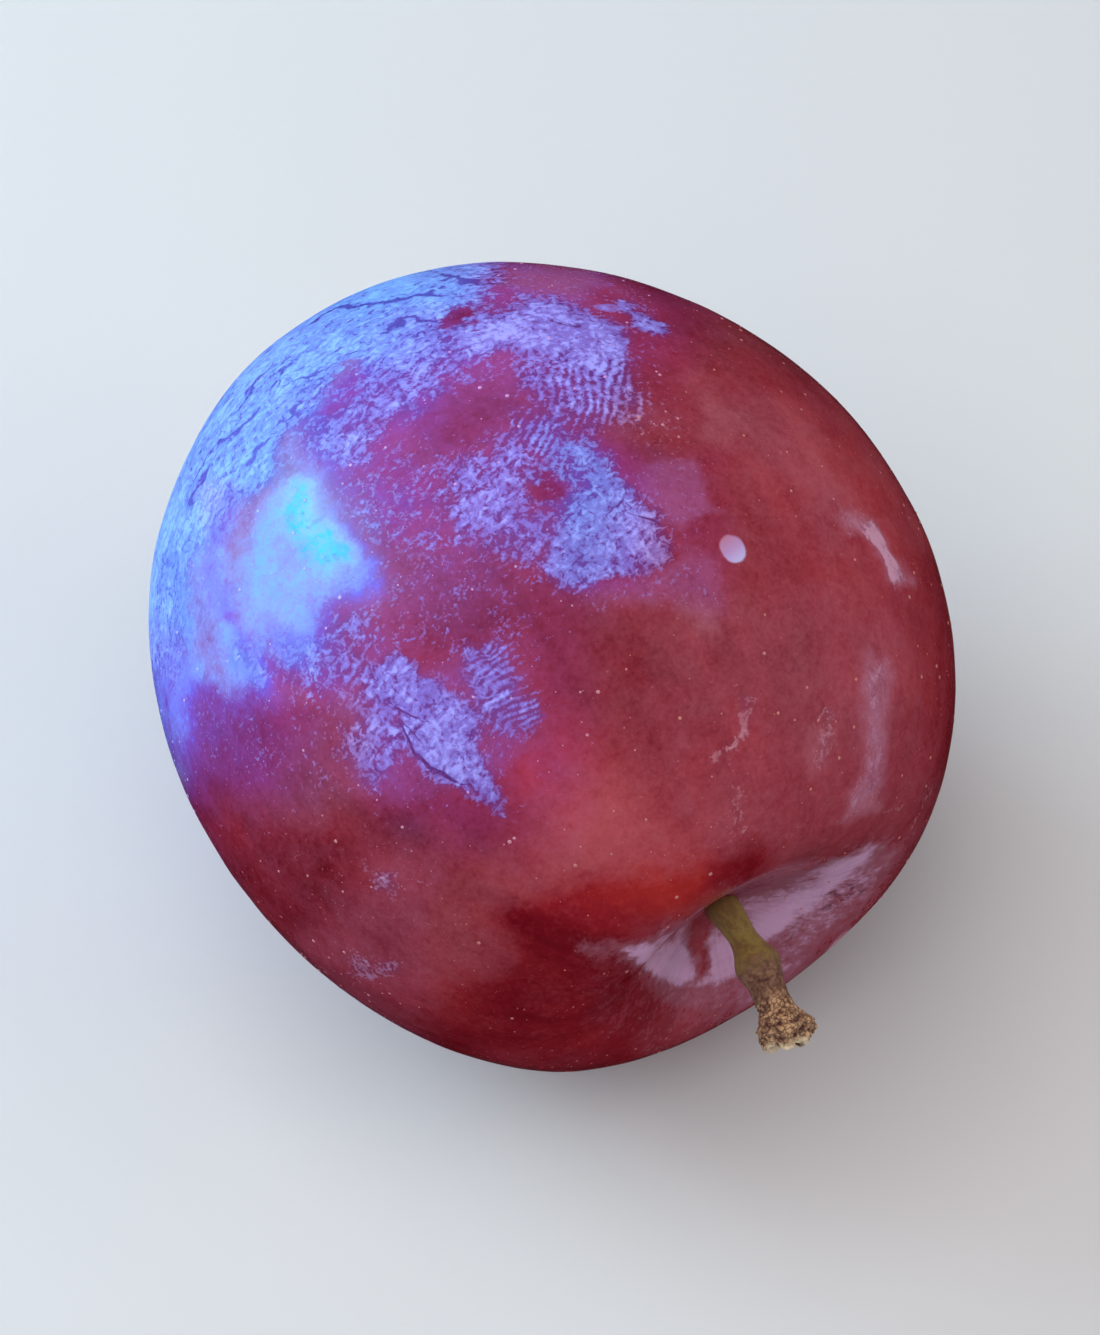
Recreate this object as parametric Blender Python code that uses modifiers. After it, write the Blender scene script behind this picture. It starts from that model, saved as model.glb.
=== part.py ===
"""A plum lying on its cheek, with its short bent stem.

Metres, +Z up. The origin is the middle of the small flat spot that the fruit rests on. The fruit's own axis
runs from its blossom end to its stem end. It points along -Y, dipped a little below level.
"""

import math

import bmesh
import bpy
from mathutils import Matrix, Vector

# How the fruit lies: its axis dips this far below level at the stem end
AXIS_DIP = math.radians(5.0)

# The egg shape of the fruit
FRUIT_WIDTH = 0.0537
FRUIT_LENGTH = 0.0601  # from pole to pole, before the cavity is sunk into it
EGG_SHIFT = 0.0008  # the blossom half is longer than the stem half by twice this
CHEEK_SWELL = 0.0387  # one cheek is fuller than the other by this share
CHEEK_SWELL_TURN = math.radians(9.6)
END_LEAN = 0.0144  # the two ends lean opposite ways by this share
END_LEAN_TURN = math.radians(1.0)
CHEEK_SQUASH = 0.0249  # the fruit is deeper by this share through its suture than across it
WAVE_SHARE = 0.0078  # the slow unevenness of a grown fruit
WAVE_TURN = math.radians(30.0)

# The hollow that the stem stands in, and the small dimple at the blossom end. Reaches are polar angles.
CAVITY_DEPTH = 0.0079
CAVITY_REACH = 0.372
CAVITY_TILT = 0.196  # the cavity's lip is higher on one side by this share of its depth
CAVITY_TILT_TURN = math.radians(0.0)
DIMPLE_DEPTH = 0.0005
DIMPLE_REACH = 0.12

# The shallow suture line, from the cavity to the blossom end
SUTURE_TURN = math.radians(158.0)
SUTURE_DEPTH = 0.00035
SUTURE_NOTCH_DEPTH = 0.00045  # extra depth where it crosses the cavity's lip
SUTURE_REACH = 0.0032
NOTCH_POLAR = 0.42
NOTCH_REACH = 0.3
POLE_FADE = 0.16

# The flat spot under the fruit
REST_SPOT_DEPTH = 0.00062
ON_PLANE = 0.00012  # points this near the cut are drawn onto it, so that it leaves no slivers

# The stem, with its root flare, the old joint half way up and the torn woody end
STEM_LENGTH = 0.0102
STEM_RADIUS = 0.00118
STEM_BEND = math.radians(28.0)
STEM_LEAN_TURN = math.radians(226.0)
STEM_ROOT_GAP = 0.0008
STEM_ROOT_SIDE = 0.0003  # the root stands this far off the fruit's axis
ROOT_SHARE = 0.72  # the root narrows to this share of the stem's radius
CUP_DEPTH = 0.0007
CUP_RADIUS = 0.0013
# Each swelling is (place as a share of the length, spread, extra share of the stem's radius)
SWELLINGS = ((0.06, 0.07, 0.14), (0.41, 0.11, 0.36), (0.89, 0.10, 0.66))
LUMP_SHARE = 0.13  # how uneven the woody end is
LUMP_START = 0.40
KNOB_SHARE = 0.12  # the woody end is fuller on one side by this share
KNOB_TURN = math.radians(20.0)
# Each lump of the woody end is (share, waves around the stem, waves along it)
LUMPS = ((0.6, 3.0, 9.0), (0.4, 5.0, -14.0))
KNOB_PLACE = 0.89
KNOB_SPREAD = 0.12

# Mesh resolution
FRUIT_SIDES = 64
FRUIT_RINGS = 44
RING_CROWDING = 0.3  # draws the rings towards the cavity, whose curves are tighter
STEM_SIDES = 16
STEM_RINGS = 22


def bell(distance, reach):
    """A smooth hump of height 1 that fades out over the reach."""
    return math.exp(-((distance / reach) ** 2))


def smooth_step(value):
    """0 up to 0 and 1 from 1, with a smooth rise between."""
    value = min(1.0, max(0.0, value))
    return value * value * (3.0 - 2.0 * value)


def wrapped(angle):
    """The angle between -pi and pi."""
    return math.remainder(angle, 2.0 * math.pi)


def cavity_drop(polar, turn):
    """How far the stem cavity sinks the skin along the axis."""
    lift = 1.0 - CAVITY_TILT * math.cos(turn - CAVITY_TILT_TURN) * math.sin(polar) / CAVITY_REACH
    return CAVITY_DEPTH * bell(polar, CAVITY_REACH) * lift


def suture_drop(polar, turn):
    """How far the suture sinks the skin towards the axis."""
    across = FRUIT_WIDTH / 2.0 * math.sin(polar) * wrapped(turn - SUTURE_TURN)
    fade = smooth_step(polar / POLE_FADE) * smooth_step((math.pi - polar) / POLE_FADE)
    notch = SUTURE_NOTCH_DEPTH * bell(polar - NOTCH_POLAR, NOTCH_REACH)
    return (SUTURE_DEPTH + notch) * bell(across, SUTURE_REACH) * fade


def skin_point(polar, turn):
    """A point of the skin in the fruit's own frame: Z runs along its axis to the stem end, X is to the side."""
    side = math.sin(polar)
    swell = 1.0 + CHEEK_SWELL * math.cos(turn - CHEEK_SWELL_TURN) * side
    lean = 1.0 + END_LEAN * math.cos(turn - END_LEAN_TURN) * side * math.cos(polar)
    squash = 1.0 + CHEEK_SQUASH * math.cos(2.0 * (turn - SUTURE_TURN)) * side
    wave = 1.0 + WAVE_SHARE * math.cos(3.0 * (turn - WAVE_TURN)) * side**2
    radial = FRUIT_WIDTH / 2.0 * side * swell * lean * squash * wave
    radial -= suture_drop(polar, turn) * side
    axial = FRUIT_LENGTH / 2.0 * math.cos(polar) - EGG_SHIFT * math.cos(polar) ** 2
    axial -= cavity_drop(polar, turn)
    axial += DIMPLE_DEPTH * bell(math.pi - polar, DIMPLE_REACH)
    return Vector((radial * math.cos(turn), radial * math.sin(turn), axial))


def clear_scene():
    """Removes whatever the file opened with."""
    for old in list(bpy.data.objects):
        bpy.data.objects.remove(old)


def material(name, colour, roughness):
    """A plain finish for one sub-part."""
    finish = bpy.data.materials.new(name)
    finish.use_nodes = True
    shader = finish.node_tree.nodes["Principled BSDF"]
    shader.inputs["Base Color"].default_value = (*colour, 1.0)
    shader.inputs["Roughness"].default_value = roughness
    shader.inputs["Metallic"].default_value = 0.0
    return finish


def place(name, mesh, finish, collection, matrix):
    """Makes the named object from a mesh, smooth shaded apart from its sharp edges, in its collection."""
    mesh.materials.append(finish)
    mesh.shade_smooth()
    made = bpy.data.objects.new(name, mesh)
    made.matrix_world = matrix
    collection.objects.link(made)
    return made


def fruit_turning():
    """The turn that lays the fruit's own Z axis along -Y, dipped below level."""
    return Matrix.Rotation(math.pi / 2.0 + AXIS_DIP, 4, "X")


def flatten_rest_spot(shape):
    """Cuts the flat spot under the fruit and returns its middle, in the fruit's own frame."""
    down = fruit_turning().inverted().to_3x3() @ Vector((0.0, 0.0, -1.0))
    lowest = max(vert.co.dot(down) for vert in shape.verts)
    on_plane = down * (lowest - REST_SPOT_DEPTH)
    bmesh.ops.bisect_plane(
        shape,
        geom=shape.verts[:] + shape.edges[:] + shape.faces[:],
        dist=ON_PLANE,
        plane_co=on_plane,
        plane_no=down,
        clear_outer=True,
    )
    rim = [edge for edge in shape.edges if edge.is_boundary]
    for edge in rim:
        edge.smooth = False
    for vert in {vert for edge in rim for vert in edge.verts}:
        vert.co -= down * (vert.co - on_plane).dot(down)
    filled = bmesh.ops.holes_fill(shape, edges=rim, sides=0)["faces"]
    return filled[0].calc_center_median_weighted()


def fruit_mesh():
    """The fruit's skin as one closed mesh, and the middle of the flat spot that it rests on."""
    shape = bmesh.new()
    bmesh.ops.create_uvsphere(shape, u_segments=FRUIT_SIDES, v_segments=FRUIT_RINGS, radius=1.0)
    for vert in shape.verts:
        polar = math.acos(max(-1.0, min(1.0, vert.co.z)))
        turn = math.atan2(vert.co.y, vert.co.x)
        vert.co = skin_point(polar - RING_CROWDING * math.sin(polar), turn)
    rest_middle = flatten_rest_spot(shape)
    bmesh.ops.recalc_face_normals(shape, faces=shape.faces)
    mesh = bpy.data.meshes.new("fruit")
    shape.to_mesh(mesh)
    shape.free()
    return mesh, rest_middle


def stem_radius(share):
    """The stem's radius at this share of its length from the root."""
    extra = sum(size * bell(share - at, spread) for at, spread, size in SWELLINGS)
    root = ROOT_SHARE + (1.0 - ROOT_SHARE) * smooth_step(share / 0.08)
    return STEM_RADIUS * (1.0 + extra) * root


def stem_profile():
    """The straight stem's outline as (radius, height), from the middle of its cupped end round to its root."""
    side = [(stem_radius(i / STEM_RINGS), STEM_LENGTH * i / STEM_RINGS) for i in range(STEM_RINGS, -1, -1)]
    floor = STEM_LENGTH - CUP_DEPTH
    return [(0.0, floor), (CUP_RADIUS * 0.6, floor + 0.0001), (CUP_RADIUS, STEM_LENGTH - 0.0001), *side, (0.0, 0.0)]


def turned(name, profile, sides):
    """A mesh turned about Z from a profile of (radius, height) that runs down its outer side."""
    line = bpy.data.meshes.new(name + "_profile")
    points = [(radius, 0.0, height) for radius, height in profile]
    line.from_pydata(points, [(i, i + 1) for i in range(len(points) - 1)], [])
    guide = bpy.data.objects.new(name + "_profile", line)
    bpy.context.scene.collection.objects.link(guide)
    screw = guide.modifiers.new("Turn", "SCREW")
    screw.axis = "Z"
    screw.steps = screw.render_steps = sides
    screw.use_merge_vertices = True
    screw.merge_threshold = 1e-5
    bpy.context.view_layer.update()
    graph = bpy.context.evaluated_depsgraph_get()
    mesh = bpy.data.meshes.new_from_object(guide.evaluated_get(graph))
    bpy.data.objects.remove(guide)
    return mesh


def roughened(point):
    """The straight stem's point, pushed in and out where the end is torn and woody."""
    share = point.z / STEM_LENGTH
    turn = math.atan2(point.y, point.x)
    wood = LUMP_SHARE * smooth_step((share - LUMP_START) / (1.0 - LUMP_START))
    lump = sum(part * math.sin(around * turn + along * share) for part, around, along in LUMPS)
    knob = KNOB_SHARE * math.cos(turn - KNOB_TURN) * bell(share - KNOB_PLACE, KNOB_SPREAD)
    rim = 1.0 + wood * lump + knob
    lift = 0.25 * LUMP_SHARE * wood * lump * STEM_LENGTH * smooth_step((share - 0.9) * 10.0)
    return Vector((point.x * rim, point.y * rim, point.z + lift))


def bent(point):
    """The straight stem's point after the stem is bent in a plain arc towards its lean."""
    lean = Vector((math.cos(STEM_LEAN_TURN), math.sin(STEM_LEAN_TURN), 0.0))
    side = Vector((-lean.y, lean.x, 0.0))
    curvature = STEM_BEND / STEM_LENGTH
    angle = curvature * point.z
    centre = lean * ((1.0 - math.cos(angle)) / curvature) + Vector((0.0, 0.0, math.sin(angle) / curvature))
    outwards = lean * math.cos(angle) - Vector((0.0, 0.0, math.sin(angle)))
    return centre + outwards * point.dot(lean) + side * point.dot(side)


def stem_mesh():
    """The stem, rooted at the bottom of the fruit's cavity, in the fruit's own frame."""
    mesh = turned("stem", stem_profile(), STEM_SIDES)
    aside = -STEM_ROOT_SIDE
    off_axis = Vector((aside * math.cos(STEM_LEAN_TURN), aside * math.sin(STEM_LEAN_TURN), STEM_ROOT_GAP))
    root = skin_point(0.0, 0.0) + off_axis
    for vert in mesh.vertices:
        vert.co = root + bent(roughened(vert.co))
    mesh.set_sharp_from_angle(angle=math.radians(40.0))
    return mesh


def main():
    clear_scene()
    collection = bpy.data.collections.new("plum")
    bpy.context.scene.collection.children.link(collection)
    skin = material("plum_skin", (0.22, 0.022, 0.05), 0.35)
    wood = material("plum_stem", (0.21, 0.14, 0.065), 0.8)
    fruit, rest_middle = fruit_mesh()
    turning = fruit_turning()
    placing = Matrix.Translation(-(turning @ rest_middle)) @ turning
    place("fruit", fruit, skin, collection, placing)
    place("stem", stem_mesh(), wood, collection, placing)


main()
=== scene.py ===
"""A ripe red plum lying on its cheek, with its bloom, its pale dots and its short torn stem.

Metres, +Z up, in the frame's own place. The fruit's axis runs from its blossom end to its stem end. A place
on the skin is a polar angle from the stem end and a turn about that axis. Marks on the side that the
photograph shows are placed in millimetres on a plane that faces the camera.
"""

import logging
import math
from dataclasses import dataclass, field, fields, replace
from enum import Enum
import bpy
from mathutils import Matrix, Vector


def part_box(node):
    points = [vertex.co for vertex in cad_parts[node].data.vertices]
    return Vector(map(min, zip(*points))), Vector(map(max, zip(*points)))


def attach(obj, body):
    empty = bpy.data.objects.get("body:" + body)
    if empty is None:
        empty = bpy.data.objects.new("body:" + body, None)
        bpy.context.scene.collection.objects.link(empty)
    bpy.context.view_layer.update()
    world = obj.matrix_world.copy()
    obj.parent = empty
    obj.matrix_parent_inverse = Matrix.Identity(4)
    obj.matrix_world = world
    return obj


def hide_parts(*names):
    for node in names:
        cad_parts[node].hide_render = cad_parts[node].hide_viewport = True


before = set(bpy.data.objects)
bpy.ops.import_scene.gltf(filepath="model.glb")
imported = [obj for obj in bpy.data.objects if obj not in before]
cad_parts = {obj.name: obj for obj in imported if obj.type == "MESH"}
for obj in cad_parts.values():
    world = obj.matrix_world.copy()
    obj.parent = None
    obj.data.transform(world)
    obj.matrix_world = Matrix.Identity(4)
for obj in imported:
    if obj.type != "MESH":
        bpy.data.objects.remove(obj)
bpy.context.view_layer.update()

from types import SimpleNamespace
from typing import Any, Callable, Union

import bpy
import numpy as np
from mathutils import Matrix, Vector

logging.basicConfig(level=logging.INFO, format="%(message)s")
log = logging.getLogger("plum")

MM = 0.001
Colour = tuple[float, float, float]
Number = Union["Num", float, np.ndarray]


def srgb(red: int, green: int, blue: int) -> Colour:
    """A screen colour, 0 to 255, as the linear colour that the shaders take."""
    shares = (red / 255, green / 255, blue / 255)
    return tuple(part / 12.92 if part <= 0.04045 else ((part + 0.055) / 1.055) ** 2.4 for part in shares)


# Node trees


class Num:
    """A number that a node tree works out. Plain Python sums on it add Math nodes."""

    def __init__(self, graph: "Graph", socket: bpy.types.NodeSocket) -> None:
        """Keeps the tree's writer and the socket that gives the number."""
        self.graph = graph
        self.socket = socket

    def call(self, operation: str, *others: Number, clamp: bool = False) -> "Num":
        """The result of one Math node.

        Args:
            operation: the Math node's operation.
            others: the node's further inputs, after this number.
            clamp: whether the result is held between 0 and 1.

        Returns:
            The number that the node gives.
        """
        return self.graph.sum(operation, self, *others, clamp=clamp)

    def __add__(self, other: Number) -> "Num":
        """This plus the other."""
        return self.call("ADD", other)

    def __sub__(self, other: Number) -> "Num":
        """This minus the other."""
        return self.call("SUBTRACT", other)

    def __mul__(self, other: Number) -> "Num":
        """This times the other."""
        return self.call("MULTIPLY", other)

    def __truediv__(self, other: Number) -> "Num":
        """This over the other."""
        return self.call("DIVIDE", other)

    def __rsub__(self, other: float) -> "Num":
        """The other minus this."""
        return self.graph.sum("SUBTRACT", other, self)

    def __rtruediv__(self, other: float) -> "Num":
        """The other over this."""
        return self.graph.sum("DIVIDE", other, self)

    def __neg__(self) -> "Num":
        """This with its sign changed."""
        return self.call("MULTIPLY", -1.0)

    __radd__ = __add__
    __rmul__ = __mul__


@dataclass(frozen=True)
class Texture:
    """A kind of noise: its waves a metre, its finer layers, how strong those are, and its warp."""

    scale: float
    detail: float = 3.0
    rough: float = 0.55
    warp: float = 0.0


class Graph:
    """Writes one node tree."""

    def __init__(self, tree: bpy.types.NodeTree) -> None:
        """Keeps the tree to write."""
        self.tree = tree

    def node(self, kind: str, inputs: dict[Any, Any] | None = None, **settings: Any) -> bpy.types.Node:
        """Adds a node.

        Args:
            kind: the node's type name.
            inputs: what feeds its inputs, by name or place. A socket is linked and a plain value is set.
            settings: the node's own properties.

        Returns:
            The new node.
        """
        made = self.tree.nodes.new(kind)
        for name, value in settings.items():
            setattr(made, name, value)
        for name, value in (inputs or {}).items():
            self.feed(made.inputs[name], value)
        return made

    def feed(self, socket: bpy.types.NodeSocket, value: Any) -> None:
        """Links a socket or a Num to the input, or sets the input's own value.

        Args:
            socket: the node's input.
            value: a socket or a Num to link, or a plain value to set.
        """
        if isinstance(value, Num):
            value = value.socket
        if isinstance(value, bpy.types.NodeSocket):
            self.tree.links.new(value, socket)
        else:
            socket.default_value = value

    def sum(self, operation: str, *values: Number, clamp: bool = False) -> Num:
        """One Math node on up to three numbers."""
        made = self.node("ShaderNodeMath", dict(enumerate(values)), operation=operation, use_clamp=clamp)
        return Num(self, made.outputs[0])

    def ramp(self, value: Number, low: float, high: float, to_low: float = 0.0, to_high: float = 1.0) -> Num:
        """A smooth rise from to_low at low to to_high at high.

        Args:
            value: the number that drives it.
            low: where the rise starts.
            high: where it ends.
            to_low: the result up to low.
            to_high: the result from high.

        Returns:
            The smooth result, held between its two ends.
        """
        places = {"Value": value, "From Min": low, "From Max": high, "To Min": to_low, "To Max": to_high}
        made = self.node("ShaderNodeMapRange", places, interpolation_type="SMOOTHSTEP")
        return Num(self, made.outputs["Result"])

    def noise(self, place: Any, texture: Texture) -> Num:
        """The texture's noise at a place, mostly between -0.5 and 0.5.

        Args:
            place: the place, as a socket.
            texture: the kind of noise.

        Returns:
            The noise, around 0.
        """
        inputs = {"Vector": place, "Scale": texture.scale, "Detail": texture.detail,
                  "Roughness": texture.rough, "Distortion": texture.warp}
        return Num(self, self.node("ShaderNodeTexNoise", inputs).outputs[0]) - 0.5

    def vector(self, operation: str, first: Any, second: Any = None) -> bpy.types.NodeSocket:
        """The result of one Vector Math node.

        Args:
            operation: the node's operation.
            first: its first vector.
            second: its second vector, or the number that scales the first, where it has one.

        Returns:
            The node's result, a number for a dot product and a vector otherwise.
        """
        inputs = {0: first}
        if second is not None:
            inputs["Scale" if operation == "SCALE" else 1] = second
        made = self.node("ShaderNodeVectorMath", inputs, operation=operation)
        return made.outputs["Value" if operation == "DOT_PRODUCT" else "Vector"]

    def combine(self, *parts: Number) -> bpy.types.NodeSocket:
        """The vector with the given X, Y and Z."""
        return self.node("ShaderNodeCombineXYZ", dict(enumerate(parts))).outputs[0]

    def split(self, vector: bpy.types.NodeSocket) -> tuple[Num, Num, Num]:
        """A vector's X, Y and Z."""
        return tuple(Num(self, part) for part in self.node("ShaderNodeSeparateXYZ", {0: vector}).outputs)

    def turned(self, vector: bpy.types.NodeSocket, angle: Number) -> bpy.types.NodeSocket:
        """A vector turned about X."""
        inputs = {"Vector": vector, "Angle": angle}
        return self.node("ShaderNodeVectorRotate", inputs, rotation_type="X_AXIS").outputs[0]

    def object_place(self) -> bpy.types.NodeSocket:
        """Where on the object the shaded place is."""
        return self.node("ShaderNodeTexCoord").outputs["Object"]

    def stored(self, name: str) -> Num:
        """The number that the mesh stores under a name."""
        return Num(self, self.node("ShaderNodeAttribute", attribute_name=name).outputs["Fac"])

    def mix(self, factor: Number, first: Any, second: Any) -> bpy.types.NodeSocket:
        """The colour between two, by a factor from 0 to 1.

        Args:
            factor: 0 for the first colour, 1 for the second.
            first: a colour, as a socket or as three numbers.
            second: another.

        Returns:
            The mixed colour's socket.
        """
        made = self.node("ShaderNodeMix", data_type="RGBA", clamp_factor=True)
        for socket, value in zip((made.inputs[0], made.inputs[6], made.inputs[7]), (factor, first, second)):
            self.feed(socket, (*value, 1.0) if isinstance(value, tuple) else value)
        return made.outputs[2]


def new_material(name: str) -> tuple[bpy.types.Material, Graph]:
    """An empty material, and the writer of its node tree.

    Args:
        name: the material's name.

    Returns:
        The material and the writer.
    """
    material = bpy.data.materials.new(name)
    material.use_nodes = True
    material.node_tree.nodes.clear()
    return material, Graph(material.node_tree)


class GeometryRule(Graph):
    """A Geometry Nodes tree with named sizes, whose result is baked into a plain mesh."""

    def __init__(self, name: str) -> None:
        """Starts the tree, with a geometry socket each way.

        Args:
            name: the tree's name.
        """
        super().__init__(bpy.data.node_groups.new(name, "GeometryNodeTree"))
        self.values: dict[str, Any] = {}
        self.face = self.tree.interface
        self.face.new_socket("Geometry", in_out="INPUT", socket_type="NodeSocketGeometry")
        self.face.new_socket("Geometry", in_out="OUTPUT", socket_type="NodeSocketGeometry")
        self.entry = self.node("NodeGroupInput")

    def given(self, name: str, value: Any, kind: str = "NodeSocketFloat") -> bpy.types.NodeSocket:
        """Adds a named input.

        Args:
            name: the input's name.
            value: what the modifier sets it to.
            kind: the socket's type name.

        Returns:
            The socket inside the tree.
        """
        socket = self.face.new_socket(name, in_out="INPUT", socket_type=kind)
        self.values[socket.identifier] = value
        return next(s for s in self.entry.outputs if s.identifier == socket.identifier)

    def size(self, name: str, value: float) -> Num:
        """Adds a named input that sums can be written on."""
        return Num(self, self.given(name, value))

    def sizes(self, shape: Any) -> SimpleNamespace:
        """Adds a named input for each number field of a dataclass.

        Args:
            shape: the dataclass with the sizes.

        Returns:
            The inputs, under the names of the fields.
        """
        names = [item.name for item in fields(shape) if item.type in ("float", float)]
        sizes = {name: self.size(name.replace("_", " "), getattr(shape, name)) for name in names}
        return SimpleNamespace(**sizes)

    def counts(self, **numbers: int) -> list[bpy.types.NodeSocket]:
        """Adds a named whole-number input for each count."""
        return [self.given(name, value, "NodeSocketInt") for name, value in numbers.items()]

    def position(self) -> tuple[Num, Num, Num]:
        """Each point's X, Y and Z."""
        return self.split(self.node("GeometryNodeInputPosition").outputs[0])

    def attribute(self, name: str) -> Num:
        """The number that the geometry stores under a name."""
        made = self.node("GeometryNodeInputNamedAttribute", {"Name": name}, data_type="FLOAT")
        return Num(self, made.outputs[0])

    def keep(self, geometry: Any, name: str, value: Number) -> bpy.types.NodeSocket:
        """Stores a number on each point under a name.

        Args:
            geometry: the geometry's socket.
            name: the name that it is stored under.
            value: the number.

        Returns:
            The geometry with the number on it.
        """
        inputs = {"Geometry": geometry, "Name": name, "Value": value}
        made = self.node("GeometryNodeStoreNamedAttribute", inputs, data_type="FLOAT", domain="POINT")
        return made.outputs[0]

    def bake(self, name: str, geometry: Any, finish: bpy.types.Material,
             start: bpy.types.Mesh | None = None) -> bpy.types.Object:
        """Ends the tree, runs it and leaves its result as a plain mesh at the origin.

        Args:
            name: the finished object's name.
            geometry: the socket with the tree's last geometry.
            finish: the material that the tree sets.
            start: the mesh that the tree is given, where it needs one.

        Returns:
            The finished object, with no modifier.
        """
        finish_input = self.given("Finish", finish, "NodeSocketMaterial")
        real = self.node("GeometryNodeRealizeInstances", {"Geometry": geometry})
        smooth = self.node("GeometryNodeSetShadeSmooth", {"Geometry": real.outputs[0]})
        painted = self.node("GeometryNodeSetMaterial",
                            {"Geometry": smooth.outputs[0], "Material": finish_input})
        self.node("NodeGroupOutput", {"Geometry": painted.outputs[0]})
        made = bpy.data.objects.new(name, start or bpy.data.meshes.new(name))
        bpy.context.scene.collection.objects.link(made)
        modifier = made.modifiers.new(name, "NODES")
        modifier.node_group = self.tree
        for identifier, value in self.values.items():
            modifier[identifier] = value
        graph = bpy.context.evaluated_depsgraph_get()
        mesh = bpy.data.meshes.new_from_object(made.evaluated_get(graph))
        made.modifiers.remove(modifier)
        made.data = mesh
        mesh.name = name
        return made


# Sums that work alike on plain numbers, on arrays and on a node tree's numbers


def either(operation: str, plain: Callable[[Any], Any]) -> Callable[[Number], Number]:
    """A function that is a Math node for a Num and the plain function for anything else."""
    return lambda value: value.call(operation) if isinstance(value, Num) else plain(value)


sine = either("SINE", np.sin)
cosine = either("COSINE", np.cos)
power_of_e = either("EXPONENT", np.exp)


def bell(distance: Number, reach: Number) -> Number:
    """A smooth hump of height 1 that fades out over the reach."""
    share = distance / reach
    return power_of_e(share * share * -1.0)


def held(value: Number) -> Number:
    """The value, held between 0 and 1."""
    return value.call("ADD", 0.0, clamp=True) if isinstance(value, Num) else np.clip(value, 0.0, 1.0)


def smooth_step(value: Number) -> Number:
    """0 up to 0 and 1 from 1, with a smooth rise between."""
    value = held(value)
    return value * value * (value * -2.0 + 3.0)


def wrapped(angle: Number) -> Number:
    """The angle between -pi and pi.

    Args:
        angle: the angle, in a tree or in numpy.

    Returns:
        The same direction's angle.
    """
    if isinstance(angle, Num):
        return angle.call("WRAP", math.pi, -math.pi)
    return np.mod(angle + math.pi, 2.0 * math.pi) - math.pi


def ripple(points: np.ndarray, wave: float, seed: int, count: int = 22) -> np.ndarray:
    """Smooth noise from crossing waves.

    Args:
        points: the places, one a row.
        wave: the usual wavelength, in the same unit.
        seed: fixes the waves' directions and starts.
        count: how many waves cross.

    Returns:
        One value a place, mostly between -1 and 1.
    """
    rng = np.random.default_rng(seed)
    ways = rng.normal(size=(count, points.shape[1]))
    quickness = 2.0 * math.pi / wave * rng.uniform(0.6, 1.5, (count, 1))
    ways *= quickness / np.linalg.norm(ways, axis=1, keepdims=True)
    starts = rng.uniform(0.0, 2.0 * math.pi, count)
    return np.sin(points @ ways.T + starts).sum(axis=1) * math.sqrt(2.0 / count)


def read_points(mesh: bpy.types.Mesh) -> np.ndarray:
    """The mesh's points, one a row.

    Args:
        mesh: the mesh.

    Returns:
        Its points, in metres.
    """
    flat = np.zeros(len(mesh.vertices) * 3, np.float32)
    mesh.vertices.foreach_get("co", flat)
    return flat.reshape(-1, 3).astype(float)


def read_numbers(mesh: bpy.types.Mesh, name: str) -> np.ndarray:
    """The numbers stored on the mesh's points under a name.

    Args:
        mesh: the mesh.
        name: the name that they are stored under.

    Returns:
        One number a point.
    """
    flat = np.zeros(len(mesh.vertices), np.float32)
    mesh.attributes[name].data.foreach_get("value", flat)
    return flat.astype(float)


def write_numbers(mesh: bpy.types.Mesh, name: str, values: np.ndarray) -> None:
    """Stores a number on each of the mesh's points under a name."""
    made = mesh.attributes.get(name) or mesh.attributes.new(name, "FLOAT", "POINT")
    made.data.foreach_set("value", values.astype(np.float32))


# The view that the marks on the skin were read from


@dataclass(frozen=True)
class SeenFrom:
    """The viewing direction of the photograph, and the plane through the fruit that holds its marks."""

    azimuth: float = math.radians(-33.5)
    elevation: float = math.radians(56.0)
    distance: float = 0.300
    aim: tuple[float, float, float] = (0.0, 0.0030, 0.0270)
    off_centre: tuple[float, float] = (-0.04, -2.73)

    @property
    def back(self) -> Vector:
        """The direction from the fruit to the eye."""
        level, rise = math.cos(self.elevation), math.sin(self.elevation)
        return Vector((math.sin(self.azimuth) * level, -math.cos(self.azimuth) * level, rise))

    @property
    def right(self) -> Vector:
        """The direction that looks level and to the right."""
        return Vector((math.cos(self.azimuth), math.sin(self.azimuth), 0.0))

    @property
    def up(self) -> Vector:
        """The direction that looks upwards."""
        return self.back.cross(self.right)

    @property
    def eye(self) -> Vector:
        """Where the eye is."""
        return Vector(self.aim) + self.back * self.distance

    def flat(self, points: np.ndarray) -> tuple[np.ndarray, np.ndarray]:
        """Places points on the plane, in millimetres right and up from its middle.

        Args:
            points: the places in space, in metres, one a row.

        Returns:
            The places on the plane, one a row, and each point's height towards the eye in metres.
        """
        away = points - np.array(self.aim)
        height = away @ np.array(self.back)
        grown = self.distance / (self.distance - height) / MM
        seen = np.stack([away @ np.array(self.right) * grown, away @ np.array(self.up) * grown], axis=1)
        return seen - np.array(self.off_centre), height


VIEW = SeenFrom()


# The fruit


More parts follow.
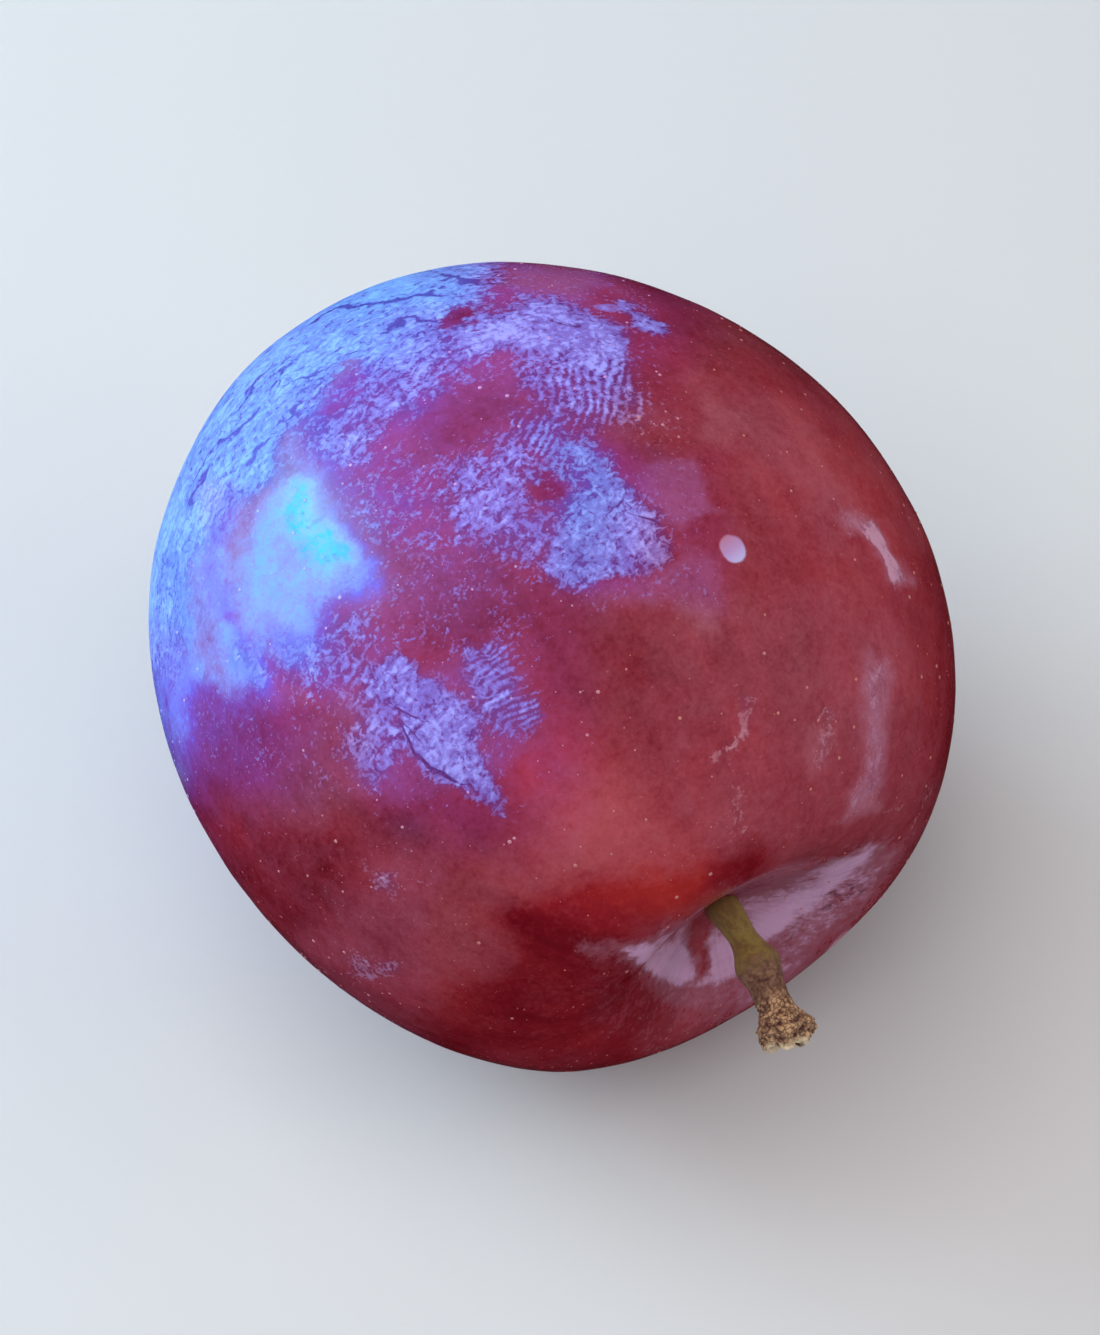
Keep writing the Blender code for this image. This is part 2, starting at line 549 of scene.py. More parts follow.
@dataclass(frozen=True)
class FruitShape:
    """The fruit's sizes. Turns and reaches are angles about and from its axis."""

    width: float = 0.0537
    length: float = 0.0601
    egg_shift: float = 0.0008
    cheek_swell: float = 0.0387
    cheek_swell_turn: float = math.radians(9.6)
    end_lean: float = 0.0144
    end_lean_turn: float = math.radians(1.0)
    cheek_squash: float = 0.0249
    wave_share: float = 0.0078
    wave_turn: float = math.radians(30.0)
    cavity_depth: float = 0.0079
    cavity_reach: float = 0.372
    cavity_tilt: float = 0.196
    cavity_tilt_turn: float = 0.0
    dimple_depth: float = 0.0005
    dimple_reach: float = 0.12
    suture_turn: float = math.radians(158.0)
    suture_depth: float = 0.00035
    suture_notch_depth: float = 0.00045
    suture_reach: float = 0.0032
    notch_polar: float = 0.42
    notch_reach: float = 0.3
    pole_fade: float = 0.16
    axis_dip: float = math.radians(5.0)
    ring_crowding: float = 0.3
    dent_depth: float = 0.00007

    @staticmethod
    def skin(size: Any, polar: Number, turn: Number) -> tuple[Number, Number, Number]:
        """A place on the skin in the fruit's own frame, whose Z runs along its axis to the stem end.

        Args:
            size: this class's numbers, plain or as a tree's named inputs.
            polar: the angle from the stem end.
            turn: the angle about the axis.

        Returns:
            The place's X, Y and Z in metres.
        """
        side = sine(polar)
        along = cosine(polar)
        swell = size.cheek_swell * cosine(turn - size.cheek_swell_turn) * side + 1.0
        lean = size.end_lean * cosine(turn - size.end_lean_turn) * side * along + 1.0
        squash = size.cheek_squash * cosine((turn - size.suture_turn) * 2.0) * side + 1.0
        wave = size.wave_share * cosine((turn - size.wave_turn) * 3.0) * side * side + 1.0
        across = size.width * 0.5 * side * wrapped(turn - size.suture_turn)
        fade = smooth_step(polar / size.pole_fade) * smooth_step((math.pi - polar) / size.pole_fade)
        notch = size.suture_notch_depth * bell(polar - size.notch_polar, size.notch_reach)
        suture = (size.suture_depth + notch) * bell(across, size.suture_reach) * fade
        radial = size.width * 0.5 * side * swell * lean * squash * wave - suture * side
        lift = 1.0 - size.cavity_tilt * cosine(turn - size.cavity_tilt_turn) * side / size.cavity_reach
        axial = size.length * 0.5 * along - size.egg_shift * along * along
        axial = axial - size.cavity_depth * bell(polar, size.cavity_reach) * lift
        axial = axial + size.dimple_depth * bell(math.pi - polar, size.dimple_reach)
        return radial * cosine(turn), radial * sine(turn), axial

    @property
    def turning(self) -> Matrix:
        """The turn that lays the fruit's axis along -Y, dipped a little below level."""
        return Matrix.Rotation(math.pi / 2.0 + self.axis_dip, 3, "X")

    def seat(self) -> Vector:
        """How far the turned fruit moves so that it lies where the frame has it.

        Returns:
            The way from the turned fruit's own origin to its place.
        """
        turns, polars = np.meshgrid(np.linspace(-math.pi, math.pi, 361), np.linspace(0.0, math.pi, 181))
        own = np.stack([part.ravel() for part in self.skin(self, polars, turns)], axis=1)
        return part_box("fruit")[1] - Vector((own @ np.array(self.turning).T).max(axis=0))

    def place(self, polar: float, turn: float) -> Vector:
        """A place on the skin in the frame."""
        return self.turning @ Vector(self.skin(self, polar, turn)) + self.seat()


class Layer(Enum):
    """What a mark on the skin changes. Each value is the name that the mesh stores it under."""

    BLOOM = "bloom"
    # Haze, which also carries the painted highlight and the painted reflection along the left rim
    HAZE = "haze"
    RED = "red"
    # The colour of the light, painted into the skin's colours: warm at the right, blue under the window
    COOL = "cool"
    FILM = "film"


@dataclass(frozen=True)
class Mark:
    """A patch on the side that the photograph shows, as an outline on the seen plane.

    The amount is what it adds to its layer, and soft is half the width of its edge's fade.
    """

    amount: float
    soft: float
    outline: tuple[tuple[float, float], ...]

    def cover(self, seen: np.ndarray) -> np.ndarray:
        """How far each place is covered, from 0 to the mark's amount, with a soft edge.

        Args:
            seen: the places on the seen plane, one a row.

        Returns:
            The cover at each place.
        """
        corners = np.array(self.outline, float)
        inside = np.zeros(len(seen), bool)
        nearest = np.full(len(seen), np.inf)
        for start, end in zip(corners, np.roll(corners, -1, axis=0)):
            run = end - start
            share = np.clip(((seen - start) @ run) / (run @ run), 0.0, 1.0)
            nearest = np.minimum(nearest, np.linalg.norm(seen - start - share[:, None] * run, axis=1))
            crosses = (start[1] > seen[:, 1]) != (end[1] > seen[:, 1])
            rise = run[1] if run[1] else 1e-9
            inside ^= crosses & (seen[:, 0] < start[0] + (seen[:, 1] - start[1]) * run[0] / rise)
        depth = np.where(inside, nearest, -nearest)
        return self.amount * smooth_step(depth / (2.0 * self.soft) + 0.5)


BLOOM_MARKS = (
    # The thick bloom along the rim, from the top round to the left
    Mark(0.68, 1.5, ((-6.2, 25.0), (-4.5, 26.3), (-3.5, 28.5), (-8.5, 30.0), (-14.0, 29.5), (-20.0, 26.5),
         (-26.0, 21.0), (-29.5, 14.0), (-30.0, 9.0), (-26.5, 8.5), (-24.6, 9.0), (-23.2, 11.0),
         (-21.5, 12.2), (-19.8, 13.0), (-19.2, 15.0), (-18.6, 16.6), (-17.4, 18.8), (-16.2, 20.6),
         (-15.0, 21.6), (-12.5, 21.8), (-10.5, 21.4), (-8.5, 22.2), (-7.6, 23.3))),
    # The arc of thinner bloom inside it
    Mark(0.42, 1.3, ((-15.8, 14.8), (-13.4, 14.4), (-12.4, 16.4), (-10.4, 17.6), (-8.8, 18.7),
         (-7.0, 19.8), (-5.5, 21.1), (-4.0, 22.5), (-5.5, 23.6), (-9.0, 22.8), (-13.0, 22.0),
         (-16.8, 20.6), (-18.2, 18.0), (-17.0, 16.0))),
    # The top patch and the thin part below it
    Mark(0.88, 1.0, ((-6.2, 23.2), (-4.5, 24.8), (-2.0, 25.6), (0.4, 25.8), (2.2, 25.2), (3.4, 24.4),
         (4.5, 23.7), (5.1, 22.6), (5.0, 21.6), (3.8, 21.0), (2.0, 21.3), (0.5, 21.5), (-1.0, 22.3),
         (-3.0, 22.6), (-5.0, 22.0))),
    Mark(0.42, 1.0, ((-2.4, 21.9), (0.2, 21.6), (5.0, 21.4), (6.7, 18.9), (6.3, 17.6), (3.0, 17.4),
         (1.0, 18.0), (-1.0, 18.6), (-2.2, 20.0))),
    # The middle patch, densest at its lower right
    Mark(0.34, 1.3, ((3.3, 17.4), (3.5, 15.6), (5.0, 13.4), (7.0, 11.2), (8.2, 9.2), (8.1, 7.6),
         (6.0, 6.8), (3.5, 6.2), (1.6, 5.6), (-0.2, 7.4), (-2.0, 8.2), (-4.0, 8.6), (-6.4, 9.2),
         (-7.4, 10.8), (-7.2, 13.4), (-5.6, 14.9), (-3.6, 14.4), (-3.4, 16.4), (-2.2, 18.0), (0.4, 18.6),
         (2.0, 16.9))),
    Mark(0.50, 0.8, ((-0.1, 7.6), (0.6, 9.4), (1.6, 11.2), (2.6, 12.6), (3.6, 14.4), (5.1, 13.0),
         (6.4, 11.9), (7.6, 10.4), (8.3, 8.6), (7.7, 7.3), (4.6, 6.9), (2.0, 5.6))),
    # The lower patch, sharp along its lower left, with thin bloom on both sides
    Mark(0.68, 0.65, ((-12.7, 0.2), (-11.7, 1.2), (-10.4, 1.1), (-9.5, 0.0), (-9.2, -1.1), (-7.8, -1.5),
         (-6.6, -2.2), (-5.5, -3.0), (-5.0, -4.4), (-4.7, -6.2), (-4.1, -7.6), (-3.8, -9.0), (-2.9, -10.6),
         (-4.6, -9.8), (-6.1, -8.7), (-8.0, -7.4), (-9.4, -6.1), (-10.3, -4.7), (-10.5, -3.6),
         (-11.8, -2.8), (-12.8, -2.0))),
    Mark(0.42, 1.1, ((-13.3, -2.4), (-11.8, -3.0), (-10.2, -4.4), (-10.8, -6.4), (-12.0, -8.7),
         (-13.3, -8.4), (-14.2, -6.0), (-14.2, -4.0))),
    Mark(0.44, 0.9, ((-6.4, 2.0), (-4.2, 1.7), (-3.1, 0.2), (-2.2, -1.6), (-0.9, -2.0), (-0.1, -3.4),
         (-0.8, -4.4), (-3.0, -5.0), (-4.6, -3.8), (-6.0, -1.2))),
    Mark(0.34, 1.6, ((-20.0, 2.0), (-13.0, 4.0), (-12.4, 0.6), (-14.0, -1.6), (-18.5, -1.6))),
    # The smooth pale edge at the far left, and the pale patch at the band's lower end: a painted reflection
    # along the rim, laid as bloom
    Mark(0.90, 2.6, ((-31.0, 12.0), (-26.4, 11.0), (-26.4, 6.0), (-26.2, 3.0), (-27.5, 0.0),
         (-31.0, -2.0))),
    Mark(0.40, 1.0, ((-22.8, 2.2), (-21.4, 1.6), (-20.2, -0.4), (-20.0, -1.6), (-21.6, -1.2),
         (-22.8, 0.2))),
    # The sparse grains all over the upper left
    Mark(0.21, 2.0, ((-28.0, 0.0), (-28.0, 30.0), (6.0, 30.0), (9.0, 20.0), (12.0, 12.0), (12.0, 3.0),
         (0.0, 3.0), (0.0, -8.0), (-14.0, -9.0), (-24.0, -8.0))),
    Mark(0.16, 1.6, ((-14.0, 14.5), (-3.0, 16.0), (0.0, 8.0), (-8.0, 7.0), (-12.0, 9.0))),
    # The speckled net and the pale streaks on the right cheek
    Mark(0.42, 0.7, ((13.0, -1.0), (14.6, -1.4), (15.4, -3.2), (14.2, -5.2), (12.2, -7.0), (10.6, -7.4),
         (12.6, -5.0), (13.6, -3.4))),
    Mark(0.26, 0.8, ((12.0, -7.4), (13.8, -7.2), (14.6, -12.0), (12.2, -12.6))),
    Mark(0.36, 0.8, ((18.2, -2.6), (19.6, -2.8), (19.5, -7.4), (18.3, -7.4))),
    Mark(0.30, 0.6, ((20.4, 11.6), (22.6, 10.8), (23.2, 9.2), (21.9, 8.9), (20.6, 9.4))),
    Mark(0.98, 0.35, ((21.9, 10.0), (22.9, 10.1), (24.2, 8.4), (25.0, 6.6), (24.1, 5.9), (23.3, 7.6),
         (22.6, 9.0))),
    Mark(0.34, 0.5, ((22.3, 0.4), (23.3, 0.2), (23.4, -4.5), (23.2, -8.0), (21.6, -10.4), (20.9, -10.2),
         (21.9, -7.6), (22.1, -3.0))),
    Mark(0.09, 2.0, ((-20.0, -9.0), (-6.0, -9.0), (-4.0, -20.0), (-16.0, -21.0))),
    # Wisps near the upper right rim, and smears at the lower left
    Mark(0.70, 0.45, ((4.8, 25.4), (6.2, 25.3), (7.6, 24.8), (8.7, 24.2), (8.2, 23.4), (7.0, 23.4),
         (6.0, 24.1))),
    Mark(0.42, 0.6, ((-12.8, -14.2), (-11.0, -14.2), (-10.8, -16.0), (-12.4, -15.9))),
    Mark(0.38, 0.7, ((-14.2, -20.0), (-12.5, -20.4), (-10.6, -20.0), (-10.7, -21.7), (-12.4, -22.0),
         (-14.0, -21.4))),
)

HAZE_AND_HIGHLIGHT_MARKS = (
    # Painted highlight: the smooth pale haze where the window reflects; and beside it the pale band along the
    # left rim, a painted reflection
    Mark(0.46, 1.3, ((-17.2, 13.3), (-15.9, 12.2), (-15.0, 10.6), (-13.9, 8.8), (-12.3, 7.3), (-11.7, 6.0),
         (-12.6, 4.8), (-14.6, 4.8), (-15.6, 3.4), (-16.4, 1.6), (-18.4, 0.6), (-20.4, 1.2), (-21.9, 3.6),
         (-22.1, 7.0), (-21.2, 10.0), (-19.6, 11.6), (-18.4, 12.9))),
    Mark(0.46, 2.0, ((-30.0, 10.5), (-25.4, 10.4), (-23.7, 8.0), (-23.9, 4.0), (-23.4, 1.6), (-21.6, 2.4),
         (-20.2, 0.2), (-19.9, -1.7), (-21.5, -1.9), (-24.0, -0.6), (-25.8, -2.6), (-27.4, -7.0),
         (-31.0, -12.0))),
    Mark(0.20, 0.6, ((-22.6, 2.0), (-21.6, 1.7), (-20.5, -0.3), (-19.5, -2.2), (-20.4, -2.2),
         (-21.8, -1.2), (-22.6, -0.2))),
    Mark(-0.20, 0.7, ((-22.6, 4.0), (-21.0, 2.8), (-19.4, 0.8), (-18.4, -1.4), (-19.3, -1.4), (-20.6, 0.4),
         (-21.7, 1.9), (-23.2, 3.6))),
    Mark(-0.08, 0.8, ((-23.8, 11.0), (-21.8, 11.4), (-21.8, 4.4), (-23.6, 4.6))),
    Mark(0.50, 0.9, ((-24.8, 13.0), (-21.6, 12.8), (-22.6, 8.0), (-22.2, 3.4), (-20.6, 1.2), (-21.4, -0.6),
         (-23.0, 1.2), (-24.4, 4.4), (-24.8, 9.0))),
    Mark(0.26, 1.5, ((-20.0, 1.4), (-15.0, 1.6), (-14.4, -1.6), (-19.4, -2.0))),
    Mark(0.22, 0.7, ((-27.4, 11.0), (-26.0, 10.6), (-25.6, 5.0), (-24.6, 0.6), (-23.6, -1.4),
         (-24.8, -1.4), (-26.4, 3.0))),
    Mark(-0.16, 0.5, ((-25.6, 7.0), (-24.9, 6.6), (-24.4, 2.6), (-23.2, -0.6), (-23.9, -0.8),
         (-25.2, 2.6))),
    Mark(0.06, 1.4, ((-25.6, 0.0), (-20.5, -1.0), (-21.5, -3.4), (-25.0, -4.4))),
    Mark(0.36, 2.2, ((-31.0, 2.0), (-25.8, 1.0), (-24.8, -2.6), (-23.8, -5.0), (-25.0, -8.0),
         (-31.0, -11.0))),
    # The violet over the whole upper left, and the magenta below it
    Mark(0.20, 2.6, ((-30.0, 6.0), (-26.0, 24.0), (-10.0, 30.0), (2.0, 27.0), (5.0, 21.0), (6.0, 14.0),
         (1.0, 7.5), (-2.0, 7.5), (-4.0, 5.0), (-9.0, 3.0), (-12.0, -2.0), (-16.0, -2.0), (-26.0, -2.0))),
    Mark(0.20, 2.0, ((-24.0, 14.0), (-19.0, 23.0), (-8.0, 25.0), (-2.0, 22.0), (-9.0, 17.0),
         (-14.0, 12.5))),
    Mark(0.06, 1.8, ((-15.5, 14.5), (-4.0, 14.5), (0.0, 9.0), (-6.0, 8.6), (-12.5, 8.0))),
    Mark(0.06, 1.6, ((-26.5, -1.0), (-20.0, -2.6), (-14.5, -3.0), (-14.0, -9.0), (-17.0, -11.0),
         (-21.0, -10.6), (-25.5, -6.0))),
    Mark(0.28, 1.0, ((-14.6, -2.0), (-9.0, -1.0), (-4.0, 1.6), (-0.4, -3.8), (-3.8, -7.0), (-8.0, -9.0),
         (-13.4, -9.0))),
    Mark(0.30, 1.1, ((-3.0, 29.0), (4.0, 28.0), (3.0, 26.2), (-3.0, 26.2))),
    Mark(0.02, 2.2, ((-15.0, 9.0), (-4.0, 9.0), (-2.0, 2.0), (-4.0, -2.0), (-15.0, -2.0))),
    Mark(-0.12, 2.0, ((-26.0, -10.0), (-12.0, -10.5), (-12.0, -16.0), (-20.0, -20.0))),
    # The faint squares beside the middle patch
    Mark(0.30, 0.4, ((6.1, 13.3), (8.0, 14.4), (9.9, 14.5), (10.7, 13.5), (10.9, 12.0), (11.7, 11.0),
         (10.4, 10.2), (9.1, 9.7), (7.9, 10.6), (7.0, 11.6))),
    Mark(0.22, 0.8, ((1.6, 5.8), (5.0, 6.4), (8.4, 7.2), (9.4, 8.6), (11.2, 7.2), (12.2, 4.4), (12.0, 2.4),
         (10.4, 2.6), (8.8, 4.2), (5.6, 4.6), (2.6, 4.4))),
    # Pale clouds on the right cheek
    Mark(0.14, 1.0, ((11.0, 18.4), (13.4, 18.0), (13.6, 16.0), (12.0, 15.2), (10.8, 16.4))),
    Mark(0.16, 2.2, ((10.0, 20.0), (14.0, 19.0), (18.5, 17.5), (21.0, 12.0), (19.6, 8.0), (17.6, 12.0),
         (15.0, 14.0))),
    Mark(0.10, 2.6, ((14.0, 4.0), (20.0, 6.0), (24.0, 2.0), (24.0, -6.0), (18.0, -6.0), (15.0, -2.0))),
    Mark(0.22, 0.9, ((17.9, -4.6), (19.0, -4.9), (19.3, -6.6), (18.4, -7.6), (17.7, -6.6))),
    Mark(0.08, 2.6, ((0.5, -7.0), (3.0, -7.8), (6.0, -9.0), (8.0, -11.0), (9.0, -13.0), (4.0, -14.0),
         (0.0, -15.8), (-3.0, -15.0), (-2.5, -11.0), (-1.0, -9.0))),
    Mark(0.05, 2.0, ((-14.0, -13.0), (-9.0, -13.0), (-6.0, -17.0), (-4.0, -21.0), (-9.0, -23.0),
         (-16.0, -19.0))),
    Mark(-0.07, 2.0, ((-2.0, 3.0), (6.0, 4.0), (8.0, -2.0), (4.0, -8.0), (-1.0, -4.0))),
    Mark(-0.24, 0.8, ((-8.2, 23.2), (-5.0, 23.6), (-4.4, 25.2), (-7.6, 25.2))),
    Mark(-0.10, 0.7, ((-1.0, 11.2), (1.4, 11.2), (1.4, 13.6), (-1.0, 13.6))),
    # Pale streaks along the right
    Mark(0.78, 0.60, ((20.7, 11.6), (21.9, 10.9), (23.1, 9.9), (24.0, 8.9), (24.7, 7.5), (25.4, 6.2),
         (24.5, 5.8), (23.7, 6.4), (23.1, 7.6), (22.5, 8.8), (21.9, 9.6), (20.6, 10.4))),
    Mark(0.56, 0.75, ((22.2, 0.8), (23.3, 0.2), (23.6, -2.5), (23.6, -4.5), (23.1, -6.0), (23.2, -8.0),
         (22.6, -9.6), (20.7, -10.6), (21.1, -9.2), (21.9, -8.0), (22.2, -5.5), (22.0, -3.0),
         (22.1, -1.0))),
    # Clean skin: under the glow, at the bottom, along the right rim and at the top right
    Mark(-0.30, 2.0, ((2.0, -15.6), (10.6, -14.0), (14.5, -12.8), (15.0, -14.8), (11.6, -16.2),
         (9.0, -17.6), (4.0, -19.2), (-1.5, -20.6), (-3.0, -17.6))),
    Mark(-0.24, 3.0, ((-9.0, -23.5), (-2.0, -21.0), (6.0, -21.5), (9.0, -24.5), (6.0, -29.0),
         (-8.0, -29.0))),
    Mark(-0.12, 1.4, ((25.6, 8.0), (30.0, 9.0), (30.0, -8.0), (26.4, -7.0), (26.4, 1.0))),
    Mark(-0.05, 1.8, ((8.5, 25.2), (12.5, 23.4), (17.0, 20.4), (21.0, 16.6), (24.6, 11.6), (23.5, 11.0),
         (20.0, 15.6), (15.6, 19.4), (12.0, 21.2), (9.2, 21.4))),
)

RED_MARKS = (
    # The glow low in the middle, the purer red under it, and the darker zones
    Mark(0.20, 2.8, ((0.5, -7.0), (3.0, -7.8), (6.0, -9.0), (8.0, -11.0), (9.5, -13.0), (10.5, -15.0),
         (9.0, -16.0), (5.0, -16.6), (0.0, -16.6), (-3.0, -15.0), (-2.5, -11.0), (-1.0, -9.0))),
    Mark(0.06, 1.8, ((3.0, -15.2), (7.0, -14.0), (10.8, -14.6), (9.2, -17.2), (5.0, -18.4), (1.5, -17.8))),
    Mark(0.18, 1.3, ((-3.0, -5.5), (-0.8, -6.0), (-0.6, -9.0), (-2.6, -9.4))),
    Mark(-0.26, 2.6, ((-21.5, -10.6), (-16.5, -11.5), (-14.5, -12.5), (-14.0, -16.6), (-17.5, -18.0),
         (-22.0, -14.0))),
    Mark(-0.26, 0.9, ((-8.2, 23.2), (-5.0, 23.6), (-4.4, 25.2), (-7.6, 25.2))),
    Mark(-0.12, 0.9, ((-1.2, 11.2), (1.4, 11.2), (1.4, 13.8), (-1.2, 13.8))),
    Mark(-0.12, 2.0, ((-10.0, 14.0), (-2.0, 14.0), (-2.0, 20.0), (-9.0, 20.0))),
    Mark(-0.28, 2.4, ((-26.0, -2.0), (-15.0, -3.0), (-14.0, -10.0), (-24.0, -10.0))),
    Mark(-0.13, 2.0, ((-13.0, 9.0), (-3.0, 8.0), (-1.0, 2.0), (-8.0, 2.0))),
    Mark(-0.22, 1.8, ((-14.8, -9.8), (-8.6, -9.8), (-8.0, -12.2), (-13.0, -12.8))),
    Mark(-0.12, 1.6, ((-6.6, -10.6), (-3.8, -11.0), (-4.0, -13.0), (-6.8, -13.0))),
    Mark(-0.14, 1.6, ((-2.6, -17.4), (3.0, -18.6), (7.6, -18.6), (4.0, -19.8), (-1.0, -20.4))),
    Mark(-0.12, 2.6, ((-9.0, -23.5), (-2.0, -21.0), (6.0, -21.5), (9.0, -24.5), (6.0, -30.0),
         (-8.0, -30.0))),
    Mark(-0.20, 1.5, ((10.6, -12.4), (14.4, -12.6), (14.6, -14.8), (11.4, -15.6))),
    Mark(-0.12, 1.4, ((8.6, 24.6), (13.0, 23.4), (12.6, 21.4), (9.4, 21.6))),
    Mark(-0.15, 2.4, ((-1.0, 5.4), (13.0, 4.5), (12.0, -5.0), (7.0, -6.0), (-1.0, -3.0))),
    Mark(0.10, 2.0, ((16.0, 21.0), (22.0, 16.0), (26.0, 9.0), (23.0, 8.0), (18.0, 15.0))),
    Mark(0.14, 3.0, ((8.0, 22.0), (14.0, 20.0), (19.0, 18.0), (25.0, 9.0), (26.0, -2.0), (20.0, -2.0),
         (17.0, 9.0))),
    Mark(-0.02, 0.9, ((26.2, 8.0), (30.0, 9.0), (30.0, -10.0), (26.8, -7.0))),
    Mark(0.10, 2.4, ((-10.0, -17.0), (-3.6, -17.0), (-3.4, -23.0), (-9.6, -23.0))),
    Mark(-0.08, 1.6, ((10.6, -7.0), (16.0, -7.0), (16.0, -12.0), (11.0, -12.6))),
)

COOL_MARKS = (
    # Where the light is warmer than round it, and where it is colder
    Mark(-0.24, 2.0, ((-25.0, -2.0), (-14.0, -2.0), (-13.0, -11.0), (-25.0, -11.0))),
    # Along the left rim, where the painted reflection lies
    Mark(-0.04, 1.4, ((-30.0, 9.0), (-24.5, 9.0), (-23.0, 4.0), (-20.5, -2.5), (-30.0, -5.0))),
    Mark(-0.18, 2.0, ((-31.0, 3.0), (-25.6, 2.4), (-24.6, -1.0), (-24.6, -6.0), (-31.0, -9.0))),
    Mark(0.07, 0.9, ((-23.8, 11.0), (-21.6, 11.5), (-21.4, 4.4), (-23.4, 4.6))),
    Mark(-0.13, 0.9, ((-21.6, 5.4), (-19.8, 4.6), (-17.4, 2.4), (-18.4, 0.4), (-21.0, 1.6))),
    Mark(-0.09, 0.9, ((-23.4, 1.2), (-21.6, 1.8), (-19.8, -0.6), (-19.8, -2.2), (-22.0, -1.6))),
    Mark(0.26, 1.6, ((-1.0, 17.0), (6.0, 15.5), (11.5, 14.5), (12.5, 9.5), (12.5, 4.0), (2.0, 5.0))),
    Mark(0.16, 1.6, ((-15.0, 25.0), (-6.0, 24.6), (-5.0, 28.5), (-15.0, 29.0))),
    # Colder where the window reflects: part of the painted highlight
    Mark(0.18, 1.0, ((-16.6, 11.6), (-14.6, 9.6), (-12.0, 7.6), (-11.8, 5.8), (-15.0, 5.0), (-17.4, 7.0))),
    Mark(0.20, 0.7, ((-18.2, 13.2), (-16.8, 12.6), (-15.0, 9.4), (-13.4, 8.0), (-14.2, 6.8), (-16.6, 7.4),
         (-18.2, 9.0))),
    Mark(-0.24, 0.9, ((-24.6, 13.0), (-22.0, 12.6), (-22.6, 8.0), (-22.2, 3.4), (-19.6, -0.4),
         (-16.6, -0.6), (-16.4, -2.6), (-19.6, -2.4), (-22.0, 1.6), (-24.2, 4.4), (-24.4, 9.0))),
    Mark(-0.15, 2.0, ((-18.5, 18.5), (-16.5, 14.0), (-12.5, 12.0), (-9.0, 15.0), (-11.5, 20.0))),
    Mark(-0.14, 0.8, ((-6.0, 30.0), (-5.0, 26.8), (3.0, 26.4), (3.0, 30.0))),
    Mark(0.04, 1.2, ((20.0, 12.0), (24.0, 10.0), (26.0, 6.0), (24.0, 4.0), (24.4, -8.0), (20.6, -11.0),
         (21.4, 0.0), (22.6, 6.0))),
    Mark(-0.34, 2.4, ((-27.0, -10.5), (-12.0, -10.5), (-4.0, -13.0), (-1.0, -25.0), (-20.0, -28.0))),
)

FILM_MARKS = (
    # The dull film in the hollow, on both sides of the stem, and the streak wiped through it
    Mark(0.44, 0.50, ((9.1, -17.7), (7.4, -18.6), (5.9, -19.3), (5.6, -20.1), (6.4, -21.2), (8.4, -22.0),
         (10.8, -22.2), (13.2, -21.4), (13.6, -19.0), (12.5, -16.5), (11.0, -17.0))),
    Mark(0.50, 1.2, ((9.0, -18.6), (6.2, -19.6), (6.2, -21.6), (7.4, -23.0), (10.0, -24.2), (12.4, -24.6),
         (14.2, -23.4), (14.2, -18.6))),
    Mark(0.36, 0.9, ((6.4, -19.0), (2.0, -19.1), (1.8, -20.4), (6.6, -21.0))),
    Mark(0.18, 2.0, ((3.0, -21.0), (6.0, -22.0), (9.0, -23.5), (13.0, -25.0), (8.0, -28.0), (2.0, -25.5))),
    Mark(0.36, 0.40, ((12.4, -15.6), (15.0, -14.8), (18.0, -14.1), (20.5, -12.9), (22.5, -12.1),
         (23.6, -11.9), (23.4, -13.0), (21.0, -14.8), (18.0, -17.0), (15.0, -19.0), (13.4, -18.0))),
    Mark(0.32, 1.3, ((13.0, -16.6), (17.0, -15.2), (21.0, -13.6), (24.0, -12.6), (23.4, -14.6),
         (21.0, -17.4), (18.6, -20.8), (16.8, -23.0), (14.0, -22.6))),
    Mark(0.30, 1.8, ((13.0, -16.8), (17.0, -15.6), (21.0, -13.6), (26.0, -11.0), (24.0, -15.6),
         (19.0, -21.0), (15.0, -23.0))),
    Mark(0.30, 0.8, ((18.6, -13.8), (22.6, -12.3), (23.4, -12.8), (22.2, -14.6), (19.6, -15.2))),
    Mark(-0.84, 0.50, ((10.0, -16.9), (11.2, -17.0), (11.2, -19.4), (10.9, -21.4), (10.2, -21.8),
         (10.0, -19.4))),
)

MARKS = {
    Layer.BLOOM: BLOOM_MARKS,
    Layer.HAZE: HAZE_AND_HIGHLIGHT_MARKS,
    Layer.RED: RED_MARKS,
    Layer.COOL: COOL_MARKS,
    Layer.FILM: FILM_MARKS,
}

BARE_SPOTS = (
    # Where the bloom is rubbed off inside a patch: place right and up, and half width and height
    (0.2, 12.4, 1.3, 1.3),
    (-6.2, 24.3, 1.7, 0.8),
    (-14.4, 20.0, 1.3, 1.3),
    (-15.2, 18.3, 0.8, 1.0),
    (-6.2, 17.8, 2.8, 2.2),
)


@dataclass(frozen=True)
class RidgeZone:
    """Fine lines that a fingertip left in the bloom, and the way that they follow one another."""

    centre: tuple[float, float]
    reach: tuple[float, float]
    way: float
    spacing: float

    def cover(self, seen: np.ndarray) -> tuple[np.ndarray, np.ndarray]:
        """How strongly each place is ridged, and how many lines lie between it and the zone's middle.

        Args:
            seen: the places on the seen plane, one a row.

        Returns:
            The strength and the count of lines at each place.
        """
        away = seen - np.array(self.centre)
        run = away @ np.array((math.cos(self.way), math.sin(self.way)))
        side = away @ np.array((-math.sin(self.way), math.cos(self.way)))
        distance = np.hypot(run / self.reach[0], side / self.reach[1])
        return smooth_step((1.25 - distance) / 0.5), run / self.spacing


RIDGE_ZONES = (
    RidgeZone((3.2, 19.3), (3.9, 2.5), math.radians(-4.0), 0.72),
    RidgeZone((-2.9, -1.5), (3.6, 1.7), math.radians(-58.0), 0.52),
    RidgeZone((-1.4, 16.2), (2.2, 1.8), math.radians(-32.0), 0.60),
)


